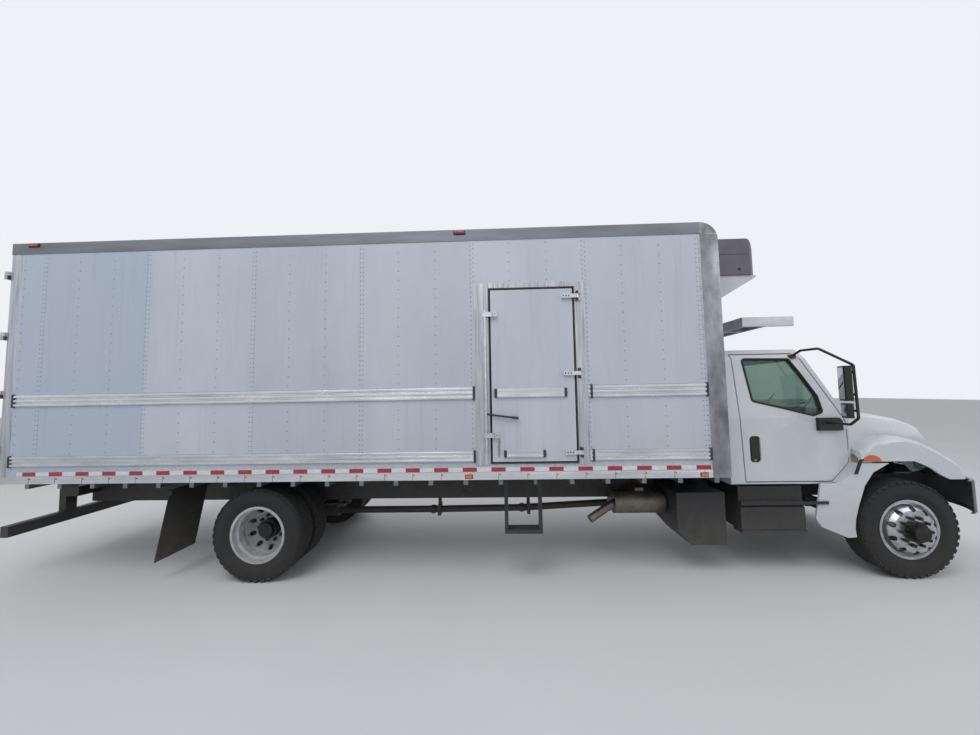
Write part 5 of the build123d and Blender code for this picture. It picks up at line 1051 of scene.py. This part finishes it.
# The rear doors are two leaves like it, with a rubber seal round each, galvanised lock rods in cast
# keepers, folding handles, round red reflectors and a bare number plate panel.
REAR_FACE_X = -5.391
REAR_SEAL_YZ = ((0.007, 1.284), (1.207, 3.675))
REAR_SEAL_WIDTHS = (0.023, 0.021, 0.022)
REAR_HINGE_FACE_X = -5.4245
REAR_KEEPER_FACE_X = -5.4385
REAR_HINGES_Z = (1.442, 2.062, 2.722, 3.422)
REAR_HINGE_BOLTS_Y = (1.055, 1.085, 1.115, 1.145)
REAR_KEEPERS_Z = (1.367, 2.225, 2.925, 3.602)
REAR_RODS_Y = (0.18, 0.82)
REFLECTOR_YZ = (0.50, 1.42)
PLATE_YZ = ((0.34, 1.62), (0.66, 1.78))
for word, side in (("left", 1), ("right", -1)):
    leaf = smooth_copy("rear_door_" + word, word + "_rear_door", panel_white, 30, 0.0015)
    second_finish(leaf, zinc, lambda middle, normal: middle.x < REAR_FACE_X - 0.0015)
    seal, heads = [], []
    for (y0, z0), (y1, z1) in frame_strips(*REAR_SEAL_YZ, *REAR_SEAL_WIDTHS):
        seal.append(slab((REAR_FACE_X - 0.004, side * y0, z0), (REAR_FACE_X + 0.001, side * y1, z1), 0.0015))
    done(joined(seal), "rear_seal_" + word, word + "_rear_door", gasket_rubber)
    for z in REAR_HINGES_Z:
        for y in REAR_HINGE_BOLTS_Y:
            heads.append(rod((REAR_HINGE_FACE_X, side * y, z), (REAR_HINGE_FACE_X - 0.005, side * y, z),
                             0.0085, 6, 0.0012))
    for z in REAR_KEEPERS_Z:
        for y in REAR_RODS_Y:
            for off in (-0.026, 0.026):
                across = side * (y + off)
                heads.append(rod((REAR_KEEPER_FACE_X, across, z), (REAR_KEEPER_FACE_X - 0.004, across, z),
                                 0.006, 6, 0.001))
    done(joined(heads), "rear_door_bolts_" + word, word + "_rear_door", joint_black)
    y, z = REFLECTOR_YZ
    glow = rod((REAR_FACE_X + 0.001, side * y, z), (REAR_FACE_X - 0.009, side * y, z), 0.040, 32, 0.003)
    done(glow, "rear_reflector_" + word, word + "_rear_door", tape_red)
plate = slab((REAR_FACE_X - 0.006, *PLATE_YZ[0]), (REAR_FACE_X + 0.001, *PLATE_YZ[1]), 0.0025)
done(plate, "blank_plate_panel", "left_rear_door", zinc)

# The refrigeration unit: a cover of dark moulded plastic over a pale condenser duct that slopes back to
# the wall. Quarter-turn catches hold the cover, whose halves meet in a dark line.
unit_dark = surface("dark_unit_moulding", "#65626a", "#4f4c53", 200, (0.4, 0.55), grain=(3, 0.1))
unit_pale = surface("pale_duct_moulding", "#c9cbd0", "#b3b6bc", 200, (0.4, 0.55), grain=(3, 0.1))
DUCT_TOP_Z = 3.328
UNIT_SIDE_Y = 0.9495
UNIT_SEAM_XZ = ((2.575, 3.574), (3.10, 3.580))
CATCHES_X = (2.70, 3.00)
CATCH_Z = 3.40
unit = smooth_copy("refrigeration_unit", "chassis", unit_dark, 30, 0.010)
second_finish(unit, unit_pale, lambda middle, normal: middle.z < DUCT_TOP_Z)
catches = []
for side in (1, -1):
    y = side * UNIT_SIDE_Y
    (x0, z0), (x1, z1) = UNIT_SEAM_XZ
    catches.append(slab((x0, y - 0.0012, z0), (x1, y + 0.0012, z1), 0.0006, 1))
    for x in CATCHES_X:
        catches.append(rod((x, side * 0.948, CATCH_Z), (x, side * 0.9535, CATCH_Z), 0.016, 20, 0.002))
        catches.append(slab((x - 0.012, side * 0.9525, CATCH_Z - 0.0015),
                            (x + 0.012, side * 0.9565, CATCH_Z + 0.0015), 0.0005, 1))
done(joined(catches), "unit_catches", "chassis", seal_rubber)

# The service platform is mill-finish aluminium, dull and faintly clouded: a deck with raised grip bars
# across it, between two side beams that reach out from the box's front wall.
mill_aluminium = surface("mill_aluminium", "#c9cacc", "#a9aaac", 120, (0.35, 0.5), metallic=0.75,
                         grain=(4, 0.08))
GRIP_BAR = ((3.010, -0.88, 2.8295), (3.020, 0.88, 2.834))
GRIP_BAR_PITCH = 0.028
smooth_copy("service_platform", "chassis", mill_aluminium, 30, 0.002)
bar = slab(*GRIP_BAR, 0.0015, 1)
repeated(bar, ((GRIP_BAR_PITCH, 0, 0), 10))
done(bar, "platform_grip_bars", "chassis", mill_aluminium)

# Marker lamps: domed lenses, red at the top and the rear and amber low on the sides, each pressed into
# a black rubber grommet and fluted inside.
amber_marker = surface("amber_marker_lens", "#e07a25", "#c25f17", 20, (0.12, 0.25), grain=(6, 0.8),
                       settings=LENS_COAT)
red_marker = surface("red_marker_lens", "#8e1613", "#6d0f0d", 20, (0.12, 0.25), grain=(6, 0.8),
                     settings=LENS_COAT)
# The side lamps' middles along and up with their half lengths, then the rear lamps' places across.
SIDE_MARKERS = ((-0.159, 1.129, 0.035), (2.290, 1.127, 0.035), (-5.129, 3.790, 0.060), (-0.229, 3.783, 0.060))
TOP_MARKERS_Y = (-0.800, -0.150, 0.0, 0.150, 0.800)
TOP_MARKERS_Z = (3.731, 3.782)
TAIL_LAMPS_Y = (-0.900, -0.780, 0.780, 0.900)
TAIL_LAMP_Z = 1.175
GROMMET_X = (-5.3965, -5.3905)
markers = smooth_copy("body_lamps", "chassis", amber_marker, 30, 0.005)
second_finish(markers, red_marker, lambda middle, normal: middle.z > 2.0 or middle.x < -5.38)
sides = joined([slab((x - half - 0.007, -1.3055, z - 0.0225), (x + half + 0.007, -1.3005, z + 0.0225), 0.002)
                for x, z, half in SIDE_MARKERS])
grommets = [on_both_sides(sides)]
for y in TOP_MARKERS_Y:
    grommets.append(slab((GROMMET_X[0], y - 0.058, TOP_MARKERS_Z[0]),
                         (GROMMET_X[1], y + 0.058, TOP_MARKERS_Z[1]), 0.002))
for y in TAIL_LAMPS_Y:
    grommets.append(rod((GROMMET_X[1], y, TAIL_LAMP_Z), (GROMMET_X[0], y, TAIL_LAMP_Z), 0.057, 32, 0.002))
done(joined(grommets), "lamp_grommets", "chassis", seal_rubber)

# The studio: a pale painted floor that keeps the truck's shadow, a white surround that metal and glass
# show, three soft lamps, and the photograph's camera, low and close with a very wide lens.
clear_selection()
bpy.ops.mesh.primitive_plane_add(size=120, location=(0, 0, -0.0005))
floor = bpy.context.active_object
floor.name = "studio_floor"
floor.data.materials.append(surface("pale_floor", "#dcdddf", "#d6d7d9", 3000, (0.75, 0.85)))
world = bpy.data.worlds.new("studio")
bpy.context.scene.world = world
world.use_nodes = True
sky = world.node_tree
rays = [node(sky, "LightPath", out="Is %s Ray" % kind) for kind in ("Camera", "Glossy", "Transmission")]
direct = node(sky, "Math", {"operation": "MAXIMUM", 0: rays[0], 1: rays[1]})
either = node(sky, "Math", {"operation": "MAXIMUM", 0: direct, 1: rays[2]})
soft = node(sky, "Background", {"Color": linear("#f2f4f7"), "Strength": 0.55})
white = node(sky, "Background", {"Color": linear("#eef1f5"), "Strength": 1.0})
blend = node(sky, "MixShader", {0: either, 1: soft, 2: white})
sky.links.new(blend, sky.nodes["World Output"].inputs["Surface"])

# Each lamp's place, target, size and power.
LAMPS = (((-3.0, -9.0, 13.0), (0.0, 0.0, 1.5), 8.0, 760), ((9.0, -6.0, 7.0), (3.0, 0.0, 1.2), 6.0, 130),
         ((-2.0, 10.0, 8.0), (0.0, 0.0, 1.5), 9.0, 380))
for place, target, size, power in LAMPS:
    light = bpy.data.lights.new("softbox", "AREA")
    light.size = size
    light.energy = power
    stand = bpy.data.objects.new("softbox", light)
    bpy.context.scene.collection.objects.link(stand)
    stand.location = place
    stand.rotation_euler = (Vector(target) - Vector(place)).to_track_quat("-Z", "Y").to_euler()

IMAGE_WIDTH = 980
FOCAL_PIXELS = 370.54
SENSOR_MM = 36
CAMERA_PLACE = (0.2144, -5.2788, 2.0172)
YAW, PITCH, ROLL = (math.radians(a) for a in (-1.873, 3.823, -1.003))
forward = Vector((math.sin(YAW) * math.cos(PITCH), math.cos(YAW) * math.cos(PITCH), math.sin(PITCH)))
level = Vector((math.cos(YAW), -math.sin(YAW), 0))
upright = level.cross(forward)
rightward = math.cos(ROLL) * level + math.sin(ROLL) * upright
upward = math.cos(ROLL) * upright - math.sin(ROLL) * level
lens = bpy.data.cameras.new("camera")
lens.sensor_width = SENSOR_MM
lens.lens = FOCAL_PIXELS * SENSOR_MM / IMAGE_WIDTH
camera = bpy.data.objects.new("camera", lens)
bpy.context.scene.collection.objects.link(camera)
camera.matrix_world = (Matrix.Translation(CAMERA_PLACE)
                       @ Matrix((rightward, upward, -forward)).transposed().to_4x4())
bpy.context.scene.camera = camera
bpy.context.scene.view_settings.view_transform = "Standard"
